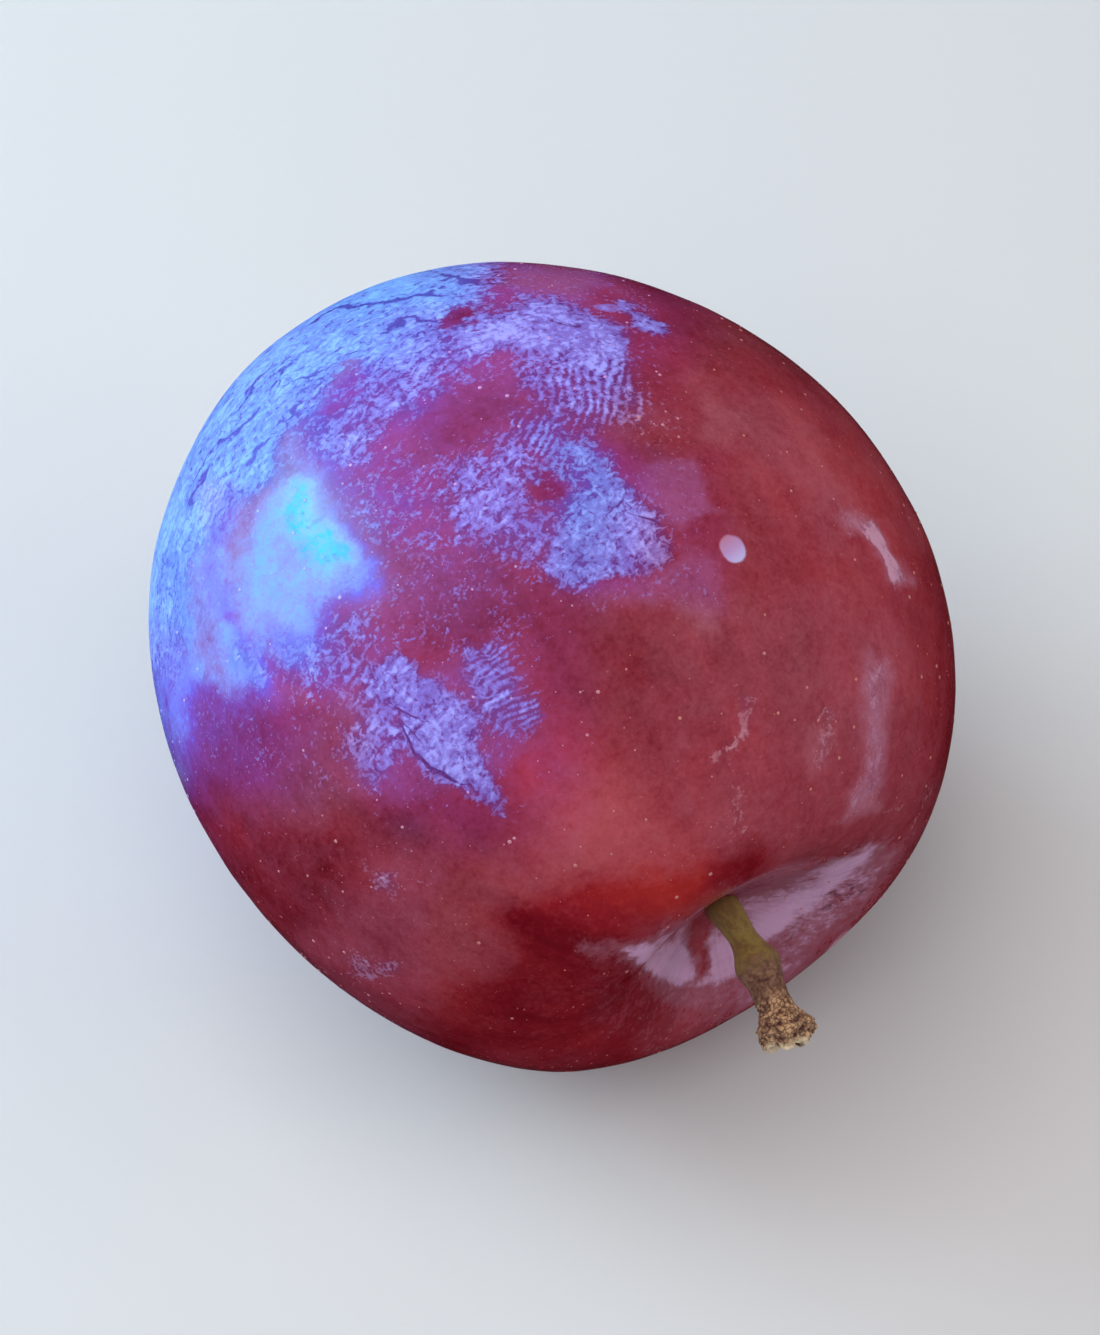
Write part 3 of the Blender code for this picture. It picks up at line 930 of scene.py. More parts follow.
@dataclass(frozen=True)
class Stroke:
    """A thin line on the seen plane: dark where its tone is below 0, dusty where it is above."""

    tone: float
    width: float
    points: tuple[tuple[float, float], ...]

    def cover(self, seen: np.ndarray) -> tuple[np.ndarray, np.ndarray, np.ndarray]:
        """Measures each place against the line.

        Args:
            seen: the places on the seen plane, one a row.

        Returns:
            The distance from the line, the same in the line's widths and signed by its side, and its tone.
        """
        corners = np.array(self.points, float)
        nearest = np.full(len(seen), np.inf)
        across = np.zeros(len(seen))
        for start, end in zip(corners[:-1], corners[1:]):
            run = end - start
            away = seen - start
            share = np.clip((away @ run) / (run @ run), 0.0, 1.0)
            distance = np.linalg.norm(away - share[:, None] * run, axis=1)
            side = np.sign(run[0] * away[:, 1] - run[1] * away[:, 0])
            closer = distance < nearest
            nearest[closer] = distance[closer]
            across[closer] = (side * distance)[closer]
        ends = np.minimum(*(np.linalg.norm(seen - corner, axis=1) for corner in (corners[0], corners[-1])))
        near = smooth_step((1.1 - nearest) / 0.5) * (0.25 + 0.75 * smooth_step(ends / 1.0))
        return nearest, across / self.width, self.tone * near


STROKES = (
    # Dark creases in the thick bloom along the rim
    Stroke(-0.9, 0.19, ((-17.4, 23.8), (-15.6, 24.7), (-14.2, 25.2), (-12.6, 25.6), (-11.0, 26.0),
           (-9.0, 26.3), (-7.4, 26.3))),
    Stroke(-0.7, 0.14, ((-12.4, 23.9), (-10.8, 24.3), (-9.3, 24.5), (-7.7, 24.3))),
    Stroke(-0.6, 0.15, ((-8.2, 27.4), (-6.5, 27.1), (-5.0, 27.2), (-3.6, 27.3))),
    Stroke(-0.6, 0.15, ((-23.6, 15.1), (-22.4, 16.2), (-21.4, 17.3), (-20.4, 18.3))),
    Stroke(-0.6, 0.15, ((-25.4, 10.8), (-24.7, 12.8), (-23.7, 14.3))),
    Stroke(-0.5, 0.15, ((-22.2, 14.0), (-20.5, 15.6), (-19.1, 16.3))),
    Stroke(-0.5, 0.15, ((-22.7, 17.5), (-21.2, 19.8), (-19.7, 21.1))),
    Stroke(-0.5, 0.15, ((-19.9, 18.9), (-18.8, 20.5), (-17.4, 21.9))),
    Stroke(-0.6, 0.11, ((-24.8, 14.1), (-23.4, 15.5))),
    Stroke(-0.6, 0.12, ((-20.8, 20.0), (-19.8, 21.0), (-19.0, 21.6))),
    Stroke(-0.6, 0.11, ((-18.3, 20.0), (-17.2, 20.7), (-15.9, 21.1))),
    Stroke(-0.6, 0.10, ((-15.0, 22.1), (-13.8, 22.4), (-12.6, 22.5))),
    Stroke(-0.5, 0.10, ((-10.3, 22.3), (-8.4, 22.8))),
    Stroke(-0.6, 0.11, ((-19.0, 17.4), (-18.1, 18.2), (-17.3, 18.8))),
    # Cracks at the patches' edges
    Stroke(-0.9, 0.17, ((-10.6, -4.1), (-9.9, -5.4), (-8.9, -6.4), (-7.6, -7.3), (-6.0, -8.2))),
    Stroke(-0.6, 0.12, ((-11.5, -2.9), (-10.3, -3.4), (-9.1, -3.6))),
    Stroke(-0.7, 0.14, ((4.1, 10.7), (4.6, 11.4), (5.0, 12.1))),
    Stroke(-0.6, 0.12, ((5.9, 10.6), (7.0, 10.5), (8.0, 10.2))),
    Stroke(-0.5, 0.12, ((0.1, 24.0), (1.2, 23.8), (2.5, 23.9))),
    # Scratches in the hollow
    Stroke(-1.0, 0.17, ((16.4, -19.8), (17.2, -19.0), (18.4, -18.2))),
    Stroke(-1.0, 0.16, ((17.0, -18.3), (17.7, -17.6), (18.3, -17.2))),
    Stroke(-1.0, 0.17, ((18.8, -17.2), (20.3, -16.3), (22.4, -15.2))),
    Stroke(-0.8, 0.14, ((18.4, -16.0), (20.5, -15.8), (22.0, -14.9))),
    # Wisps, streaks and the fine net on the right cheek
    Stroke(0.95, 0.40, ((22.1, 9.7), (22.9, 8.9), (23.5, 7.8), (24.0, 6.1))),
    Stroke(0.85, 0.32, ((22.8, 10.0), (23.7, 9.0), (24.3, 7.9), (24.8, 6.7))),
    Stroke(0.30, 0.34, ((22.9, 0.4), (22.8, -2.8), (22.7, -5.5), (22.9, -7.6))),
    Stroke(0.36, 0.34, ((22.0, -5.2), (22.1, -6.6), (21.8, -8.2), (21.1, -10.2))),
    Stroke(0.46, 0.26, ((27.0, -7.4), (26.4, -9.2), (25.3, -11.4))),
    Stroke(0.5, 0.15, ((22.6, -9.9), (23.7, -9.7), (25.1, -9.3))),
    Stroke(0.6, 0.18, ((2.9, 25.3), (4.0, 25.2), (5.3, 25.3))),
    Stroke(0.22, 0.30, ((14.4, -1.9), (13.6, -3.4), (13.8, -4.5), (12.9, -5.8), (11.8, -6.6),
           (10.7, -7.1))),
    Stroke(0.20, 0.30, ((13.9, -0.3), (13.7, -1.4), (14.6, -2.6), (14.0, -4.0))),
    Stroke(0.18, 0.30, ((12.7, -7.4), (13.1, -9.5), (13.9, -11.2), (13.5, -12.6))),
    Stroke(0.30, 0.15, ((8.8, -11.7), (10.6, -11.1), (12.4, -11.2))),
    Stroke(0.28, 0.15, ((14.0, -12.8), (16.0, -12.4), (18.6, -10.4))),
    # Wisps at the lower left
    Stroke(0.34, 0.16, ((-12.5, -15.5), (-12.1, -14.8), (-11.3, -14.6))),
    Stroke(0.4, 0.14, ((-10.4, -15.1), (-9.0, -15.5), (-7.9, -15.9))),
    Stroke(0.26, 0.16, ((-13.8, -20.1), (-13.2, -21.2), (-12.2, -21.7), (-10.6, -21.9))),
    Stroke(0.30, 0.12, ((-9.8, -17.5), (-8.0, -18.1), (-6.0, -18.7))),
    Stroke(0.5, 0.10, ((-9.0, -8.2), (-8.4, -7.6), (-8.0, -7.2))),
)


@dataclass(frozen=True)
class PaleOval:
    """A small raised pale oval on the skin, on the seen plane."""

    centre: tuple[float, float]
    half: tuple[float, float]
    way: float

    def across(self, seen: np.ndarray) -> np.ndarray:
        """Each place along and across the oval, where 1 is its edge.

        Args:
            seen: the places on the seen plane, one a row.

        Returns:
            The two shares, one place a row.
        """
        away = seen - np.array(self.centre)
        along = away @ np.array((math.cos(self.way), math.sin(self.way)))
        side = away @ np.array((-math.sin(self.way), math.cos(self.way)))
        return np.stack([along / self.half[0], side / self.half[1]], axis=1)


PALE_SPOT = PaleOval((12.85, 8.35), (1.14, 0.86), math.radians(-52.0))


@dataclass(frozen=True)
class Ramp:
    """A colour that changes along a number from 0 to 1."""

    stops: tuple[tuple[float, Colour], ...]

    def node(self, graph: Graph, value: Number) -> bpy.types.NodeSocket:
        """Adds the ramp to a tree.

        Args:
            graph: the writer of the tree.
            value: the number that drives it.

        Returns:
            The colour's socket.
        """
        made = graph.node("ShaderNodeValToRGB", {"Fac": value})
        elements = made.color_ramp.elements
        while len(elements) < len(self.stops):
            elements.new(1.0)
        for element, (at, colour) in zip(elements, self.stops):
            element.position = at
            element.color = (*colour, 1.0)
        return made.outputs[0]


@dataclass(frozen=True)
class SkinFinish:
    """The skin: red pigment, a violet haze, the film in the hollow, and the bloom in grains and cracks,
    tinted by the painted colour of the light.
    """

    pigment: Ramp = Ramp(((0.0, srgb(78, 1, 10)), (0.30, srgb(118, 10, 26)), (0.55, srgb(146, 26, 38)),
                          (0.80, srgb(172, 40, 38)), (1.0, srgb(196, 50, 32))))
    # The haze, gap, cut, grain and bright ramps run along the painted colour of the light: pinkish under the
    # warm light at the right, violet, then blue under the window. The haze ramp's cyan end is the painted
    # highlight where the window reflects.
    haze: Ramp = Ramp(((0.0, srgb(186, 118, 136)), (0.45, srgb(146, 82, 178)), (0.62, srgb(114, 94, 222)),
                       (0.82, srgb(130, 152, 238)), (0.92, srgb(120, 162, 242)),
                       (1.0, srgb(60, 158, 240))))
    gap: Ramp = Ramp(((0.0, srgb(112, 50, 84)), (0.45, srgb(92, 58, 146)), (1.0, srgb(70, 96, 206))))
    cut: Ramp = Ramp(((0.0, srgb(64, 22, 34)), (0.45, srgb(66, 34, 104)), (1.0, srgb(52, 62, 158))))
    grain: Ramp = Ramp(((0.0, srgb(186, 118, 134)), (0.45, srgb(142, 124, 228)), (1.0, srgb(114, 162, 244))))
    bright: Ramp = Ramp(((0.0, srgb(212, 152, 170)), (0.45, srgb(172, 168, 255)), (1.0, srgb(136, 190, 255))))
    film: Colour = srgb(212, 166, 204)
    film_thin: Colour = srgb(160, 98, 120)
    # Painted shading across the pale oval: pinkish at one end and bluish at the other, as on a small raised
    # dome.
    spot: Ramp = Ramp(((0.0, srgb(190, 122, 150)), (0.5, srgb(188, 150, 200)), (1.0, srgb(196, 194, 244))))
    scar: Colour = srgb(132, 92, 70)
    scar_core: Colour = srgb(74, 46, 40)
    scar_edge: tuple[float, float] = (0.040, 0.024)
    scar_core_edge: tuple[float, float] = (0.020, 0.010)
    mottle: Texture = Texture(240.0, 5.0, 0.6)
    fleck: Texture = Texture(1500.0, 3.0, 0.6)
    speck: Texture = Texture(3400.0, 2.0, 0.6)
    smear: Texture = Texture(420.0, 5.0, 0.62, 0.5)
    cloud: Texture = Texture(150.0, 2.0, 0.5)
    clump: Texture = Texture(760.0, 3.0, 0.6)
    streak: Texture = Texture(9.0, 3.0, 0.6, 0.3)
    wiped: Texture = Texture(22.0, 3.0, 0.6, 0.4)
    streak_run: float = 0.22

    def make(self) -> bpy.types.Material:
        """Builds the material.

        Returns:
            The material.
        """
        material, graph = new_material("plum_skin")
        SkinNodes(graph.tree, self).write()
        return material


class SkinNodes(Graph):
    """Writes the skin's node tree, one layer over another."""

    def __init__(self, tree: bpy.types.NodeTree, finish: SkinFinish) -> None:
        """Adds the numbers stored on the skin's points and the noises that its layers share.

        Args:
            tree: the material's node tree.
            finish: the colours and textures.
        """
        super().__init__(tree)
        self.finish = finish
        self.place = self.object_place()
        self.skin = SimpleNamespace(**{name: self.stored(name) for name in SKIN_NUMBERS})
        meridian = self.combine(self.skin.ring_x, self.skin.ring_y, self.skin.polar * finish.streak_run)
        self.mottle = self.noise(self.place, finish.mottle)
        self.fleck = self.noise(self.place, finish.fleck)
        self.speck = self.noise(self.place, finish.speck)
        self.smear = self.noise(self.place, finish.smear)
        self.cloud = self.noise(self.place, finish.cloud)
        self.clump = self.noise(self.place, finish.clump)
        self.streak = self.noise(meridian, finish.streak)
        self.wiped = self.noise(meridian, finish.wiped)

    def write(self) -> None:
        """Adds every layer and the shader that shows them."""
        colour, veil = self.veiled(self.pigmented())
        colour, film = self.filmed(colour)
        colour, cover, depth, line = self.dusted(colour)
        colour, spot, scar = self.spotted(colour)
        rough = 0.24 + self.mottle * 0.08 + veil * 0.03 + film * 0.25 + cover * 0.26 + scar * 0.3
        height = cover * 0.7 + depth * 0.4 + self.fleck * 0.45 + self.speck * 0.35 - line * 1.2 + spot * 1.6
        bump = self.node("ShaderNodeBump", {"Height": height, "Strength": 0.55, "Distance": 0.00003})
        shader = self.node("ShaderNodeBsdfPrincipled", {
            "Base Color": colour, "Roughness": held(rough), "Normal": bump.outputs[0], "IOR": 1.45,
            "Specular IOR Level": 0.22, "Subsurface Weight": 0.08, "Subsurface Radius": (1.0, 0.3, 0.25),
            "Subsurface Scale": 0.0012,
        })
        self.node("ShaderNodeOutputMaterial", {"Surface": shader.outputs[0]})

    def pigmented(self) -> bpy.types.NodeSocket:
        """The skin's own red, mottled, and streaked from end to end."""
        uneven = self.mottle * 0.34 + self.streak * 0.34 + self.fleck * 0.26 + self.speck * 0.20
        return self.finish.pigment.node(self, self.skin.red + uneven)

    def veiled(self, colour: bpy.types.NodeSocket) -> tuple[bpy.types.NodeSocket, Num]:
        """Lays the smooth haze over a colour, bluer where it is thick and where the painted light is colder,
        up to the painted highlight's cyan.

        Args:
            colour: what is under the haze.

        Returns:
            The colour with the haze, and how far the haze covers.
        """
        haze = self.skin.haze
        broad = self.smear * 0.9 + self.streak * 0.35 + self.mottle * 0.40
        fine = self.fleck * 0.60 + self.speck * 0.60
        veil = held(haze + (broad + fine) * (haze * 0.8 + 0.16))
        # The tint follows the painted colour of the light; where that is coldest and the haze thick, it
        # reaches the painted highlight's cyan.
        tint = self.finish.haze.node(self, self.skin.cool * (veil * 0.32 + 0.70))
        return self.mix(veil, colour, tint), veil

    def filmed(self, colour: bpy.types.NodeSocket) -> tuple[bpy.types.NodeSocket, Num]:
        """Lays the hollow's dull film over a colour, ragged at its edges only.

        Args:
            colour: what is under the film.

        Returns:
            The colour with the film, and how far the film covers.
        """
        film = self.skin.film
        uneven = self.smear * 0.34 + self.wiped * 0.10 + self.fleck * 0.7 + self.speck * 0.4
        ragged = film + uneven * held(film * 4.0) * held(4.0 - film * 4.0)
        cover = self.ramp(ragged, 0.04, 0.86)
        thick = self.ramp(ragged + self.wiped * 0.35 + self.cloud * 0.5 + self.smear * 0.3, 0.50, 1.10)
        tint = self.mix(thick, self.finish.film_thin, self.finish.film)
        return self.mix(cover * 0.88, colour, tint), cover

    def dusted(self, colour: bpy.types.NodeSocket) -> tuple[bpy.types.NodeSocket, Num, Num, Num]:
        """Lays the bloom over a colour: its fine dust, its grains, and the dark lines cut through it.

        Args:
            colour: what is under the bloom.

        Returns:
            The colour with the bloom, how far the grains cover, how thick they lie, and the dark lines.
        """
        skin, finish = self.skin, self.finish
        dust = self.node("ShaderNodeGroup", node_tree=BloomDust().group())
        for socket, value in {"Place": self.place, "Density": skin.bloom, "Ridge": skin.ridge,
                              "Ridge Run": skin.ridge_run, "Across": skin.across, "Tone": skin.tone}.items():
            self.feed(dust.inputs[socket], value)
        cover, depth, line = (Num(self, dust.outputs[name]) for name in ("Cover", "Depth", "Line"))
        fine = self.ramp(skin.bloom + self.clump * 0.5, 0.18, 0.72) * 0.72
        # The bloom's colours follow the painted colour of the light.
        colour = self.mix(fine, colour, finish.gap.node(self, skin.cool))
        powder = self.mix(depth, finish.grain.node(self, skin.cool), finish.bright.node(self, skin.cool))
        colour = self.mix(cover * (depth * 0.30 + 0.62), colour, powder)
        return self.mix(line * 0.62, colour, finish.cut.node(self, skin.cool)), cover, depth, line

    def spotted(self, colour: bpy.types.NodeSocket) -> tuple[bpy.types.NodeSocket, Num, Num]:
        """Puts the pale oval, with its painted shading, and the blossom scar on a colour.

        Args:
            colour: what is under them.

        Returns:
            The colour with both, and how far each of them covers.
        """
        skin, finish = self.skin, self.finish
        oval = (skin.spot_x * skin.spot_x + skin.spot_y * skin.spot_y).call("SQRT")
        spot = self.ramp(oval + self.fleck * 0.25, 1.05, 0.82)
        # Painted shading across the pale oval: pinkish at one end, bluish at the other, as on a small lit
        # dome.
        colour = self.mix(spot * 0.95, colour, finish.spot.node(self, skin.spot_x * 0.5 + 0.5))
        from_tip = math.pi - skin.polar + self.fleck * 0.03
        scar = self.ramp(from_tip, *finish.scar_edge)
        core = self.ramp(from_tip, *finish.scar_core_edge)
        colour = self.mix(core, self.mix(scar, colour, finish.scar), finish.scar_core)
        return colour, spot, scar


SKIN_NUMBERS = ("bloom", "haze", "red", "cool", "film", "ridge", "ridge_run", "across", "tone", "spot_x",
                "spot_y", "polar", "ring_x", "ring_y")


@dataclass(frozen=True)
class BloomDust:
    """The waxy bloom: grains, worm-like gaps, dashes along the way it was wiped, cracks and ridges."""

    name: str = "bloom dust"
    worm: Texture = Texture(2500.0, 1.0, 0.5, 0.35)
    dash: Texture = Texture(2300.0, 2.0, 0.5, 0.3)
    flake: Texture = Texture(950.0, 2.0, 0.5, 0.6)
    grain: Texture = Texture(5200.0, 2.0, 0.6)
    crumb: Texture = Texture(3200.0, 1.0, 0.5)
    clump: Texture = Texture(760.0, 4.0, 0.6)
    patchy: Texture = Texture(280.0, 3.0, 0.5)
    crackle: Texture = Texture(620.0, 2.0, 0.5, 0.8)
    swirl_scale: float = 900.0
    swirl_reach: float = 0.0011
    wiped_way: tuple[float, float, float] = (0.886, 0.179, 0.430)
    wiped_pull: float = 0.74

    def group(self) -> bpy.types.NodeTree:
        """The shader group, built once.

        Returns:
            A group that takes a place, a density, finger ridges and single strokes. It puts out how far the
            grains cover what is under them, how thick they lie, and where a dark line is cut through them.
        """
        found = bpy.data.node_groups.get(self.name)
        if found:
            return found
        tree = bpy.data.node_groups.new(self.name, "ShaderNodeTree")
        graph = Graph(tree)
        tree.interface.new_socket("Place", in_out="INPUT", socket_type="NodeSocketVector")
        numbers = ("Density", "Ridge", "Ridge Run", "Across", "Tone")
        for way, names in (("INPUT", numbers), ("OUTPUT", ("Cover", "Depth", "Line"))):
            for name in names:
                tree.interface.new_socket(name, in_out=way, socket_type="NodeSocketFloat")
        entry = graph.node("NodeGroupInput")
        density, ridge, run, across, tone = (Num(graph, entry.outputs[name]) for name in numbers)
        place = entry.outputs["Place"]
        bent = self.bent(graph, place)
        dash = graph.noise(self.pulled(graph, bent), self.dash)
        clump = graph.noise(bent, self.clump)
        patchy = graph.noise(place, self.patchy)
        grain = graph.noise(place, self.grain)
        crack = graph.ramp(graph.noise(bent, self.crackle).call("ABSOLUTE"), 0.006, 0.034, 1.0, 0.0)
        stripe = sine(run * (2.0 * math.pi) + clump * 3.0) * ridge
        stroke = graph.ramp((across + clump).call("ABSOLUTE"), 0.15, 1.10, 1.0, 0.0) * tone
        body = held(density * 2.2)
        strewn = grain * (1.1 - body * 0.65) + graph.noise(place, self.crumb) * (0.9 - body * 0.9)
        woven = graph.noise(bent, self.worm) + dash * 0.9 + clump * 0.55 + patchy * 0.42
        thick = density + woven * (body * 0.86 + 0.34) + strewn
        thick = thick + stripe * 0.21 - crack * 0.20 * body + stroke * 0.85
        cover = graph.ramp(thick, 0.30, 0.64)
        depth = graph.ramp(thick + graph.noise(place, self.flake) * 0.7 + patchy * 0.4, 0.50, 1.20)
        line = held(stroke * -1.0) * graph.ramp(grain + dash * 0.8, -0.16, 0.10)
        graph.node("NodeGroupOutput", {"Cover": cover, "Depth": depth, "Line": line})
        return tree

    def bent(self, graph: Graph, place: bpy.types.NodeSocket) -> bpy.types.NodeSocket:
        """The place, moved a little by slow noise, so that nothing in the bloom runs straight.

        Args:
            graph: the writer of the tree.
            place: the place.

        Returns:
            The moved place.
        """
        warp = graph.node("ShaderNodeTexNoise", {"Vector": place, "Scale": self.swirl_scale, "Detail": 3.0})
        shift = graph.vector("SUBTRACT", warp.outputs["Color"], (0.5, 0.5, 0.5))
        return graph.vector("ADD", place, graph.vector("SCALE", shift, self.swirl_reach))

    def pulled(self, graph: Graph, place: bpy.types.NodeSocket) -> bpy.types.NodeSocket:
        """The place, squeezed along the way that the bloom was wiped, which draws its grains out that way."""
        along = Num(graph, graph.vector("DOT_PRODUCT", place, self.wiped_way))
        return graph.vector("ADD", place, graph.vector("SCALE", self.wiped_way, along * -self.wiped_pull))


@dataclass
class Fruit:
    """The plum itself: skin, hollow, suture and the flat spot that it rests on."""

    shape: FruitShape = field(default_factory=FruitShape)
    sides: int = 360
    rings: int = 268
    rest_rounding: float = 0.0002
    dents: Texture = Texture(140.0, 2.0, 0.4)

    def build(self) -> bpy.types.Object:
        """Makes the fruit from its rule and paints its marks.

        Returns:
            The finished piece.
        """
        rule = GeometryRule("fruit rule")
        size = rule.sizes(self.shape)
        seat = rule.given("seat", self.shape.seat(), "NodeSocketVector")
        rounding = rule.size("rest rounding", self.rest_rounding)
        sides, rings = rule.counts(sides=self.sides, rings=self.rings)
        ball = rule.node("GeometryNodeMeshUVSphere", {"Segments": sides, "Rings": rings, "Radius": 1.0})
        x, y, z = rule.position()
        turn = y.call("ARCTAN2", x)
        even = z.call("ARCCOSINE")
        polar = even - size.ring_crowding * sine(even)
        kept = ball.outputs[0]
        for name, value in (("polar", polar), ("ring_x", cosine(turn)), ("ring_y", sine(turn))):
            kept = rule.keep(kept, name, value)
        own = rule.combine(*self.shape.skin(size, polar, turn))
        laid = rule.turned(own, size.axis_dip + math.pi / 2.0)
        swell = rule.noise(laid, self.dents) * size.dent_depth * 4.0
        dents = rule.vector("SCALE", rule.vector("NORMALIZE", laid), swell)
        x, y, z = rule.split(rule.vector("ADD", rule.vector("ADD", laid, seat), dents))
        seated = rule.combine(x, y, rule.sum("SMOOTH_MAX", z, 0.0, rounding))
        placed = rule.node("GeometryNodeSetPosition", {"Geometry": kept, "Position": seated})
        piece = rule.bake("fruit_skin", placed.outputs[0], SkinFinish().make())
        SkinPainter().paint(piece.data)
        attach(piece, "root")
        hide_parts("fruit")
        log.info("fruit: %d faces", len(piece.data.polygons))
        return piece


@dataclass(frozen=True)
class Wave:
    """Smooth noise over the skin: its usual wavelength in metres, its strength, and its seed."""

    length: float
    strength: float
    seed: int

    def at(self, points: np.ndarray) -> np.ndarray:
        """The noise at each place."""
        return ripple(points, self.length, self.seed) * self.strength

    def shift(self, points: np.ndarray) -> np.ndarray:
        """A small move on the seen plane at each place, by this noise and one more."""
        other = replace(self, seed=self.seed + 1)
        return np.stack([self.at(points), other.at(points)], axis=1)


@dataclass(frozen=True)
class SkinPainter:
    """Works out the numbers that the skin's finish reads: from the marks, and from waves at the back."""

    wobbles: tuple[Wave, ...] = (Wave(0.0055, 0.22, 11), Wave(0.0016, 0.10, 21))
    broad: tuple[Wave, ...] = (Wave(0.024, 0.6, 31), Wave(0.009, 0.4, 32))
    spot_edge: Wave = Wave(0.0013, 0.22, 41)
    front_edge: Wave = Wave(0.004, 0.0016, 51)
    front_start: float = -0.0045
    front_fade: float = 0.004
    light_slant: float = 0.35
    hollow_reach: float = 0.50

    def paint(self, mesh: bpy.types.Mesh) -> None:
        """Stores the numbers on the mesh's points, by their names in the finish.

        Args:
            mesh: the skin's mesh, which holds each point's polar angle.
        """
        points = read_points(mesh)
        polar = read_numbers(mesh, "polar")
        flat, height = VIEW.flat(points)
        seen = flat + sum(wave.shift(points) for wave in self.wobbles)
        broad = sum(wave.at(points) for wave in self.broad)
        front = smooth_step((height - self.front_start + self.front_edge.at(points)) / self.front_fade)
        hidden = 1.0 - front
        layers = self.marked(points, seen)
        ridge, lines = self.ridged(seen)
        across, tone = self.stroked(seen)
        spot = np.clip(PALE_SPOT.across(flat), -4.0, 4.0)
        hidden_bloom = held(0.42 + 0.42 * broad + 0.30 * smooth_step((polar - 1.2) / 1.2))
        hidden_haze = held(0.34 + 0.22 * broad)
        hollow = smooth_step((self.hollow_reach - polar) / 0.10)
        values = {
            "bloom": layers[Layer.BLOOM] * front + hidden_bloom * (1.0 - hollow) * hidden,
            "haze": held(0.20 + 0.03 * broad + layers[Layer.HAZE]) * front + hidden_haze * hidden,
            "red": 0.50 + 0.07 * broad + layers[Layer.RED] * front,
            "cool": held(self.coolness(flat, broad) + layers[Layer.COOL]),
            "film": held(layers[Layer.FILM]) * front + hollow * 0.9 * hidden,
            "spot_x": spot[:, 0],
            "spot_y": spot[:, 1],
            "ridge": ridge * front,
            "ridge_run": lines,
            "across": np.clip(across, -9.0, 9.0),
            "tone": tone * front,
        }
        for name, value in values.items():
            write_numbers(mesh, name, value)

    def marked(self, points: np.ndarray, seen: np.ndarray) -> dict[Layer, np.ndarray]:
        """Adds up the marks of each layer, and rubs the bare spots out of the bloom.

        Args:
            points: the skin's points in space, one a row.
            seen: the same points on the seen plane.

        Returns:
            Each layer's value on each point.
        """
        layers = {layer: np.zeros(len(points)) for layer in Layer}
        for layer, marks in MARKS.items():
            for mark in marks:
                cover = mark.cover(seen)
                overlap = layers[layer] * cover if layer is Layer.BLOOM else 0.0
                layers[layer] = layers[layer] + cover - overlap
        uneven = self.spot_edge.at(points)
        for right, up, half_width, half_height in BARE_SPOTS:
            away = np.hypot((seen[:, 0] - right) / half_width, (seen[:, 1] - up) / half_height)
            kept = smooth_step((away - 0.45 + uneven) / 0.85)
            layers[Layer.BLOOM] *= 0.30 + 0.70 * kept
            layers[Layer.HAZE] -= 0.05 * (1.0 - kept)
        return layers

    def ridged(self, seen: np.ndarray) -> tuple[np.ndarray, np.ndarray]:
        """How strongly each place is ridged by a finger, and its count of ridges from the zone's middle.

        Args:
            seen: the places on the seen plane, one a row.

        Returns:
            The strength and the count at each place.
        """
        ridge, lines = np.zeros(len(seen)), np.zeros(len(seen))
        for zone in RIDGE_ZONES:
            strength, count = zone.cover(seen)
            stronger = strength > ridge
            ridge[stronger], lines[stronger] = strength[stronger], count[stronger]
        return ridge, lines

    def stroked(self, seen: np.ndarray) -> tuple[np.ndarray, np.ndarray]:
        """How far across the nearest stroke each place lies, in its widths, and the stroke's tone there.

        Args:
            seen: the places on the seen plane, one a row.

        Returns:
            The signed distance and the tone at each place.
        """
        nearest, across, tone = np.full(len(seen), np.inf), np.full(len(seen), 9.0), np.zeros(len(seen))
        for stroke in STROKES:
            distance, sideways, toned = stroke.cover(seen)
            closer = distance < nearest
            nearest[closer], across[closer], tone[closer] = distance[closer], sideways[closer], toned[closer]
        return across, tone

    def coolness(self, flat: np.ndarray, broad: np.ndarray) -> np.ndarray:
        """How cold the light on each place is, from warm at the right over violet to blue at the left.

        Args:
            flat: the places on the seen plane, one a row.
            broad: slow noise, one value a place.

        Returns:
            The coolness at each place, from 0 to 0.92.
        """
        lift = flat[:, 1] * self.light_slant + 1.5 * broad
        violet = smooth_step((lift - flat[:, 0] + 6.0) / 8.0)
        blue = smooth_step((lift - flat[:, 0] * 0.9 - 11.0) / 11.0)
        return 0.45 * violet + 0.47 * blue


# The stem


@dataclass(frozen=True)
class Swelling:
    """Where along the stem it is thicker or thinner, over what share of its length, and by how much."""

    at: float
    reach: float
    extra: float


@dataclass(frozen=True)
class StemShape:
    """The stem's sizes, with its root in the hollow, its old joint and its torn woody end."""

    length: float = 0.0102
    radius: float = 0.00118
    bend: float = math.radians(28.0)
    lean_turn: float = math.radians(226.0)
    root_gap: float = 0.0008
    root_reach: float = 0.0011
    root_side: float = 0.0003
    root_share: float = 0.90
    cup_depth: float = 0.0007
    lump_share: float = 0.13
    lump_start: float = 0.40
    knob_share: float = 0.12
    knob_turn: float = math.radians(20.0)
    bark_depth: float = 0.00022
    fibre_depth: float = 0.00003
    base_end: float = 0.04
    side_end: float = 0.88
    swellings: tuple[Swelling, ...] = (
        Swelling(0.04, 0.05, 0.10),
        Swelling(0.20, 0.13, -0.16),
        Swelling(0.42, 0.11, 0.36),
        Swelling(0.89, 0.10, 0.66),
    )


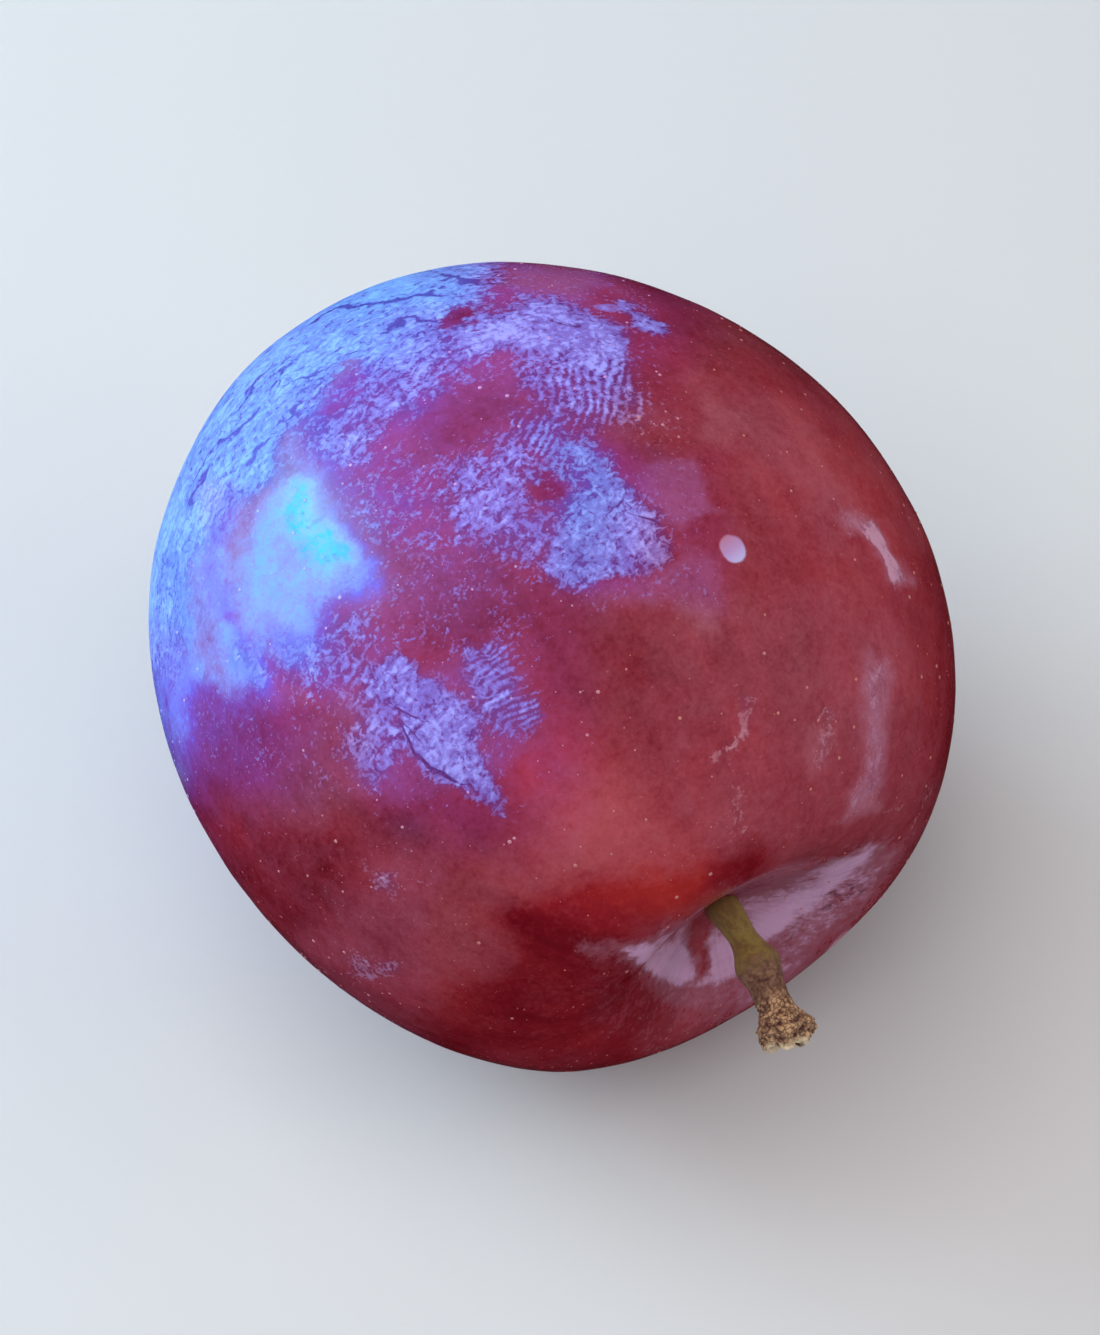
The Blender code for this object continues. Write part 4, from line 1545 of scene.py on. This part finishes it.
@dataclass(frozen=True)
class StemFinish:
    """The stem: smooth olive near the root, then cracked brown wood with a pale torn end."""

    green: Colour = srgb(150, 130, 70)
    shade: Colour = srgb(116, 74, 52)
    brown: Colour = srgb(104, 68, 56)
    tan: Colour = srgb(210, 168, 126)
    crack: Colour = srgb(66, 40, 36)
    torn: Colour = srgb(232, 212, 178)
    blotch: Texture = Texture(900.0, 4.0, 0.6)
    grain: Texture = Texture(3800.0, 3.0, 0.6)
    plate_scale: float = 2700.0

    def make(self) -> bpy.types.Material:
        """Builds the material.

        Returns:
            The material.
        """
        material, graph = new_material("plum_stem")
        place = graph.object_place()
        share, relief = graph.stored("share"), graph.stored("relief")
        blotch, grain = graph.noise(place, self.blotch), graph.noise(place, self.grain)
        woody = graph.ramp(share + blotch * 0.22, 0.34, 0.50)
        knob = graph.ramp(share + blotch * 0.10, 0.60, 0.74)
        plates = graph.node("ShaderNodeTexVoronoi", {"Vector": place, "Scale": self.plate_scale},
                            feature="DISTANCE_TO_EDGE")
        seam = graph.ramp(Num(graph, plates.outputs["Distance"]) + grain * 0.16, 0.14, 0.02)
        low = graph.ramp(relief + grain * 0.30, 0.36, 0.20)
        crack = held(seam * (knob * 0.5 + 0.3) + low * 0.6) * woody

        fibre = graph.ramp(relief + blotch * 0.5, 0.34, 0.68)
        colour = graph.mix(fibre * 0.55, self.green, self.shade)
        colour = graph.mix(graph.ramp(share + blotch * 0.1, 0.14, 0.0) * 0.7, colour, self.shade)
        colour = graph.mix(woody, colour, self.brown)
        plate = graph.ramp(relief + grain * 0.50, 0.30, 0.75)
        colour = graph.mix(plate * woody * (knob * 0.70 + 0.24), colour, self.tan)
        colour = graph.mix(crack * 0.9, colour, self.crack)
        colour = graph.mix(held(grain * 1.2) * 0.35, colour, self.tan)
        rim = graph.ramp(share + grain * 0.05, 0.95, 1.0) * graph.ramp(share, 1.30, 1.12)
        colour = graph.mix(rim * graph.ramp(relief, 0.30, 0.50) * 0.85, colour, self.torn)

        rough = 0.52 + woody * 0.30 + grain * 0.15
        height = grain * 0.8 + relief * 0.5 - crack * 0.6
        bump = graph.node("ShaderNodeBump", {"Height": height, "Strength": 0.7, "Distance": 0.00006})
        shader = graph.node("ShaderNodeBsdfPrincipled", {
            "Base Color": colour, "Roughness": rough, "Normal": bump.outputs[0],
            "Subsurface Weight": 0.05, "Subsurface Radius": (1.0, 0.6, 0.3), "Subsurface Scale": 0.0005,
        })
        graph.node("ShaderNodeOutputMaterial", {"Surface": shader.outputs[0]})
        return material


@dataclass
class Stem:
    """The short stem that stands in the fruit's hollow."""

    fruit: Fruit
    shape: StemShape = field(default_factory=StemShape)
    sides: int = 96
    rings: int = 300
    fibre: Texture = Texture(3300.0, 3.0, 0.6)
    bark: Texture = Texture(1900.0, 2.0, 0.55, 0.4)
    chips: Texture = Texture(3000.0, 2.0, 0.5, 0.8)
    grain_radius: float = 0.0013
    grain_squeeze: float = 0.45

    def build(self) -> bpy.types.Object:
        """Makes the stem from its rule.

        Returns:
            The finished piece.
        """
        rule = GeometryRule("stem rule")
        size = rule.sizes(self.shape)
        seat = rule.given("root place", self.fruit.shape.place(0.0, 0.0), "NodeSocketVector")
        dip = rule.size("axis dip", self.fruit.shape.axis_dip)
        sides, rings = rule.counts(sides=self.sides, rings=self.rings)
        tube = rule.node("GeometryNodeMeshCylinder", {
            "Vertices": sides, "Side Segments": rings, "Radius": 1.0, "Depth": 1.0,
        }, fill_type="NONE")
        x, y, z = rule.position()
        turn = y.call("ARCTAN2", x)
        run = z + 0.5
        share = held((run - size.base_end) / (size.side_end - size.base_end))
        inward = held((run - size.side_end) / (1.0 - size.side_end))
        wood = smooth_step((share - size.lump_start) / (1.0 - size.lump_start))
        lump = sine(turn * 3.0 + share * 9.0) * 0.6 + sine(turn * 5.0 - share * 14.0) * 0.4
        relief, fibre = self.barked(rule, size, turn, share, inward)
        radius = self.smooth_radius(size, turn, share, wood * lump)
        radius = radius + relief * size.bark_depth * 2.4 * wood + fibre * size.fibre_depth * 2.0
        radius = radius * held(run / size.base_end) * (1.0 - inward)
        top = size.length * share - size.cup_depth * smooth_step(inward * 2.6)
        top = top - size.root_reach * (1.0 - smooth_step(share * 6.0))
        top = top + (lump * 0.00022 + relief * 0.0004) * smooth_step((share - 0.88) * 9.0) * wood
        own = self.bent(rule, size, turn, radius, top)
        placed = rule.vector("ADD", rule.turned(own, dip + math.pi / 2.0), seat)
        kept = rule.keep(tube.outputs["Mesh"], "share", share + inward)
        kept = rule.keep(kept, "relief", relief * 0.7 + 0.5)
        shaped = rule.node("GeometryNodeSetPosition", {"Geometry": kept, "Position": placed})
        closed = rule.node("GeometryNodeMergeByDistance", {"Geometry": shaped.outputs[0], "Distance": 1e-6})
        piece = rule.bake("stem_wood", closed.outputs[0], StemFinish().make())
        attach(piece, "root")
        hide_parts("stem")
        log.info("stem: %d faces", len(piece.data.polygons))
        return piece

    def barked(self, rule: GeometryRule, size: SimpleNamespace, turn: Num, share: Num,
               inward: Num) -> tuple[Num, Num]:
        """The bark's relief and the fine fibres, both drawn out along the stem.

        Args:
            rule: the stem's tree.
            size: its named sizes.
            turn: the angle about the stem.
            share: the share of the stem's length, up to its side's end.
            inward: the share of the way over the end face, from its rim to its middle.

        Returns:
            The relief and the fibres, both around 0.
        """
        reach = self.grain_radius * (1.0 - inward * 0.8)
        along = share * size.length * self.grain_squeeze + inward * 0.0003
        place = rule.combine(cosine(turn) * reach, sine(turn) * reach, along)
        knobbly = rule.vector("MULTIPLY", place, (1.0, 1.0, 2.0))
        relief = rule.noise(knobbly, self.bark) * 1.5 + rule.noise(knobbly, self.chips)
        return relief, rule.noise(place, self.fibre)

    def smooth_radius(self, size: SimpleNamespace, turn: Num, share: Num, lumps: Num) -> Num:
        """The radius before bark and fibres.

        Args:
            size: the stem's named sizes.
            turn: the angle about the stem.
            share: the share of the stem's length.
            lumps: the wood's unevenness round the stem.

        Returns:
            The radius in metres.
        """
        girth = 1.0
        for swelling in self.shape.swellings:
            girth = bell(share - swelling.at, swelling.reach) * swelling.extra + girth
        root = smooth_step(share / 0.08) * (1.0 - size.root_share) + size.root_share
        knob = size.knob_share * cosine(turn - size.knob_turn) * bell(share - 0.89, 0.12)
        return size.radius * girth * root * (lumps * size.lump_share + knob + 1.0)

    def bent(self, rule: GeometryRule, size: SimpleNamespace, turn: Num, radius: Num,
             top: Num) -> bpy.types.NodeSocket:
        """A place on the stem, after the stem is bent into an arc.

        Args:
            rule: the stem's tree.
            size: its named sizes.
            turn: the angle about the stem.
            radius: how far the place is from the stem's middle line.
            top: how far up the straight stem the place is.

        Returns:
            The place, from the stem's root and with Z along the fruit's axis.
        """
        x, y = radius * cosine(turn), radius * sine(turn)
        curvature = size.bend / size.length
        angle = curvature * top
        along = x * cosine(size.lean_turn) + y * sine(size.lean_turn)
        side = y * cosine(size.lean_turn) - x * sine(size.lean_turn)
        lean = (1.0 - cosine(angle)) / curvature + cosine(angle) * along - size.root_side
        rise = sine(angle) / curvature - sine(angle) * along + size.root_gap
        return rule.combine(lean * cosine(size.lean_turn) - side * sine(size.lean_turn),
                            lean * sine(size.lean_turn) + side * cosine(size.lean_turn), rise)


# The pale dots


@dataclass(frozen=True)
class DotFinish:
    """The corky dots in the skin, tinted by the painted colour of the light, like the haze round them."""

    colours: Ramp = Ramp(((0.0, srgb(202, 124, 114)), (0.25, srgb(206, 136, 160)),
                          (0.45, srgb(206, 152, 214)), (1.0, srgb(164, 176, 250))))
    vary: Texture = Texture(330.0, 2.0, 0.5)

    def make(self) -> bpy.types.Material:
        """Builds the material.

        Returns:
            The material.
        """
        material, graph = new_material("plum_dots")
        vary = graph.noise(graph.object_place(), self.vary)
        colour = self.colours.node(graph, graph.stored("cool") + vary * 0.3)
        shader = graph.node("ShaderNodeBsdfPrincipled",
                            {"Base Color": colour, "Roughness": 0.55 + vary * 0.2})
        graph.node("ShaderNodeOutputMaterial", {"Surface": shader.outputs[0]})
        return material


@dataclass
class PaleDots:
    """The fine pale dots, strewn over the whole skin and closer together towards the blossom end."""

    per_square_metre: float = 190000.0
    smallest: float = 0.00004
    largest: float = 0.00015
    flatness: float = 0.35
    seed: int = 5

    def build(self, skin: bpy.types.Object) -> bpy.types.Object:
        """Strews the dots over the skin.

        Args:
            skin: the fruit's finished piece.

        Returns:
            The finished piece, which holds every dot.
        """
        rule = GeometryRule("dots rule")
        density = rule.size("dots a square metre", self.per_square_metre)
        smallest, largest = rule.size("smallest", self.smallest), rule.size("largest", self.largest)
        [seed] = rule.counts(seed=self.seed)
        flatness = rule.size("flatness", self.flatness)
        crowd = rule.ramp(rule.attribute("polar"), 0.3, 2.6, 0.55, 1.0)
        crowd = crowd * rule.ramp(rule.attribute("bloom"), 0.3, 0.7, 1.0, 0.25)
        strewn = rule.node("GeometryNodeDistributePointsOnFaces", {
            "Mesh": rule.entry.outputs[0], "Density": density * crowd, "Seed": seed,
        })
        dot = rule.node("GeometryNodeMeshUVSphere", {"Segments": 10, "Rings": 5, "Radius": 1.0})
        luck = rule.node("FunctionNodeRandomValue", {"Seed": seed}, data_type="FLOAT")
        spread = Num(rule, luck.outputs[1])
        girth = smallest + (largest - smallest) * spread * spread * spread
        size = rule.combine(girth, girth, girth * flatness)
        placed = rule.node("GeometryNodeInstanceOnPoints", {
            "Points": strewn.outputs["Points"], "Instance": dot.outputs[0],
            "Rotation": strewn.outputs["Rotation"], "Scale": size,
        })
        piece = rule.bake("pale_dots", placed.outputs[0], DotFinish().make(), skin.data.copy())
        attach(piece, "root")
        log.info("dots: %d faces", len(piece.data.polygons))
        return piece


# The floor, the lights and the camera


class Seen(Enum):
    """What a light shows up in."""

    BY_DIFFUSE = "diffuse"
    BY_GLOSSY = "glossy"


@dataclass(frozen=True)
class Softbox:
    """A soft rectangular light, placed by its direction from the fruit."""

    name: str
    way: tuple[float, float, float]
    size: tuple[float, float]
    power: float
    colour: Colour
    seen: Seen
    distance: float = 0.50

    def build(self, target: Vector) -> None:
        """Puts the light in place, facing the target.

        Args:
            target: the place that it faces.
        """
        light = bpy.data.lights.new(self.name, "AREA")
        light.shape = "RECTANGLE"
        light.size, light.size_y = self.size
        light.energy = self.power
        light.color = self.colour
        made = bpy.data.objects.new(self.name, light)
        way = Vector(self.way).normalized()
        made.location = target + way * self.distance
        made.rotation_mode = "QUATERNION"
        made.rotation_quaternion = way.to_track_quat("Z", "Y")
        made.visible_diffuse = self.seen is not Seen.BY_GLOSSY
        made.visible_glossy = self.seen is not Seen.BY_DIFFUSE
        bpy.context.scene.collection.objects.link(made)


@dataclass
class Studio:
    """A plain pale floor, soft light and the camera at the photograph's viewing angle."""

    floor_side: float = 3.0
    floor_colour: Colour = srgb(214, 213, 212)
    floor_cloud: Texture = Texture(6.0)
    sky: Colour = (0.86, 0.90, 1.0)
    sky_strength: float = 0.30
    lens: float = 115.0
    boxes: tuple[Softbox, ...] = (
        Softbox("window", (-0.53, 0.785, 0.36), (0.34, 0.34), 2.5, (0.62, 0.84, 1.0), Seen.BY_DIFFUSE),
        Softbox("upper pane", (-0.416, 0.823, 0.388), (0.06, 0.07), 0.60, (0.05, 0.74, 1.0), Seen.BY_GLOSSY),
        Softbox("middle pane", (-0.505, 0.724, 0.470), (0.06, 0.065), 0.70, (0.05, 0.78, 1.0),
                Seen.BY_GLOSSY),
        Softbox("lower pane", (-0.558, 0.625, 0.545), (0.07, 0.055), 0.72, (0.05, 0.78, 1.0), Seen.BY_GLOSSY),
        Softbox("side pane", (-0.546, 0.502, 0.670), (0.07, 0.06), 0.40, (0.16, 0.62, 1.0), Seen.BY_GLOSSY),
        Softbox("window blind", (-0.700, 0.670, 0.240), (0.12, 0.18), 0.34, (0.10, 0.60, 1.0),
                Seen.BY_GLOSSY),
        Softbox("overhead", (-0.299, -0.04, 0.953), (0.9, 0.9), 6.0, (1.0, 0.98, 0.97), Seen.BY_DIFFUSE,
                0.90),
        Softbox("front fill", (0.627, -0.603, 0.493), (0.5, 0.5), 1.4, (1.0, 0.93, 0.90), Seen.BY_DIFFUSE,
                0.80),
    )

    def build(self) -> None:
        """Makes the floor, the lights, the sky and the camera."""
        self.floor()
        target = Vector(VIEW.aim)
        for box in self.boxes:
            box.build(target)
        world = bpy.data.worlds.new("studio")
        world.use_nodes = True
        background = world.node_tree.nodes["Background"]
        background.inputs["Color"].default_value = (*self.sky, 1.0)
        background.inputs["Strength"].default_value = self.sky_strength
        world.cycles_visibility.glossy = False
        bpy.context.scene.world = world
        bpy.context.scene.view_settings.view_transform = "Standard"
        self.camera()
        log.info("studio: %d lights", len(self.boxes))

    def floor(self) -> None:
        """Makes the floor under the fruit, with a faint cloudiness."""
        bpy.ops.mesh.primitive_plane_add(size=self.floor_side)
        floor = bpy.context.object
        floor.name = "floor"
        material = bpy.data.materials.new("floor")
        material.use_nodes = True
        graph = Graph(material.node_tree)
        shader = graph.tree.nodes["Principled BSDF"]
        cloud = graph.noise(graph.object_place(), self.floor_cloud) + 0.5
        darker = tuple(part * 0.97 for part in self.floor_colour)
        graph.feed(shader.inputs["Base Color"], graph.mix(cloud, darker, self.floor_colour))
        shader.inputs["Roughness"].default_value = 0.8
        floor.data.materials.append(material)
        floor.visible_glossy = False

    def camera(self) -> None:
        """Puts the camera where the photograph was taken from, with a longer lens."""
        lens = bpy.data.cameras.new("camera")
        lens.lens = self.lens
        lens.clip_start, lens.clip_end = 0.01, 20.0
        camera = bpy.data.objects.new("camera", lens)
        right, up = VIEW.off_centre
        target = Vector(VIEW.aim) + (VIEW.right * right + VIEW.up * up) * MM
        camera.location = VIEW.eye
        camera.rotation_mode = "QUATERNION"
        camera.rotation_quaternion = (VIEW.eye - target).to_track_quat("Z", "Y")
        bpy.context.scene.collection.objects.link(camera)
        bpy.context.scene.camera = camera


def main() -> None:
    """Builds the plum and the studio round it."""
    fruit = Fruit()
    skin = fruit.build()
    Stem(fruit).build()
    PaleDots().build(skin)
    Studio().build()


if __name__ == "__main__":
    main()
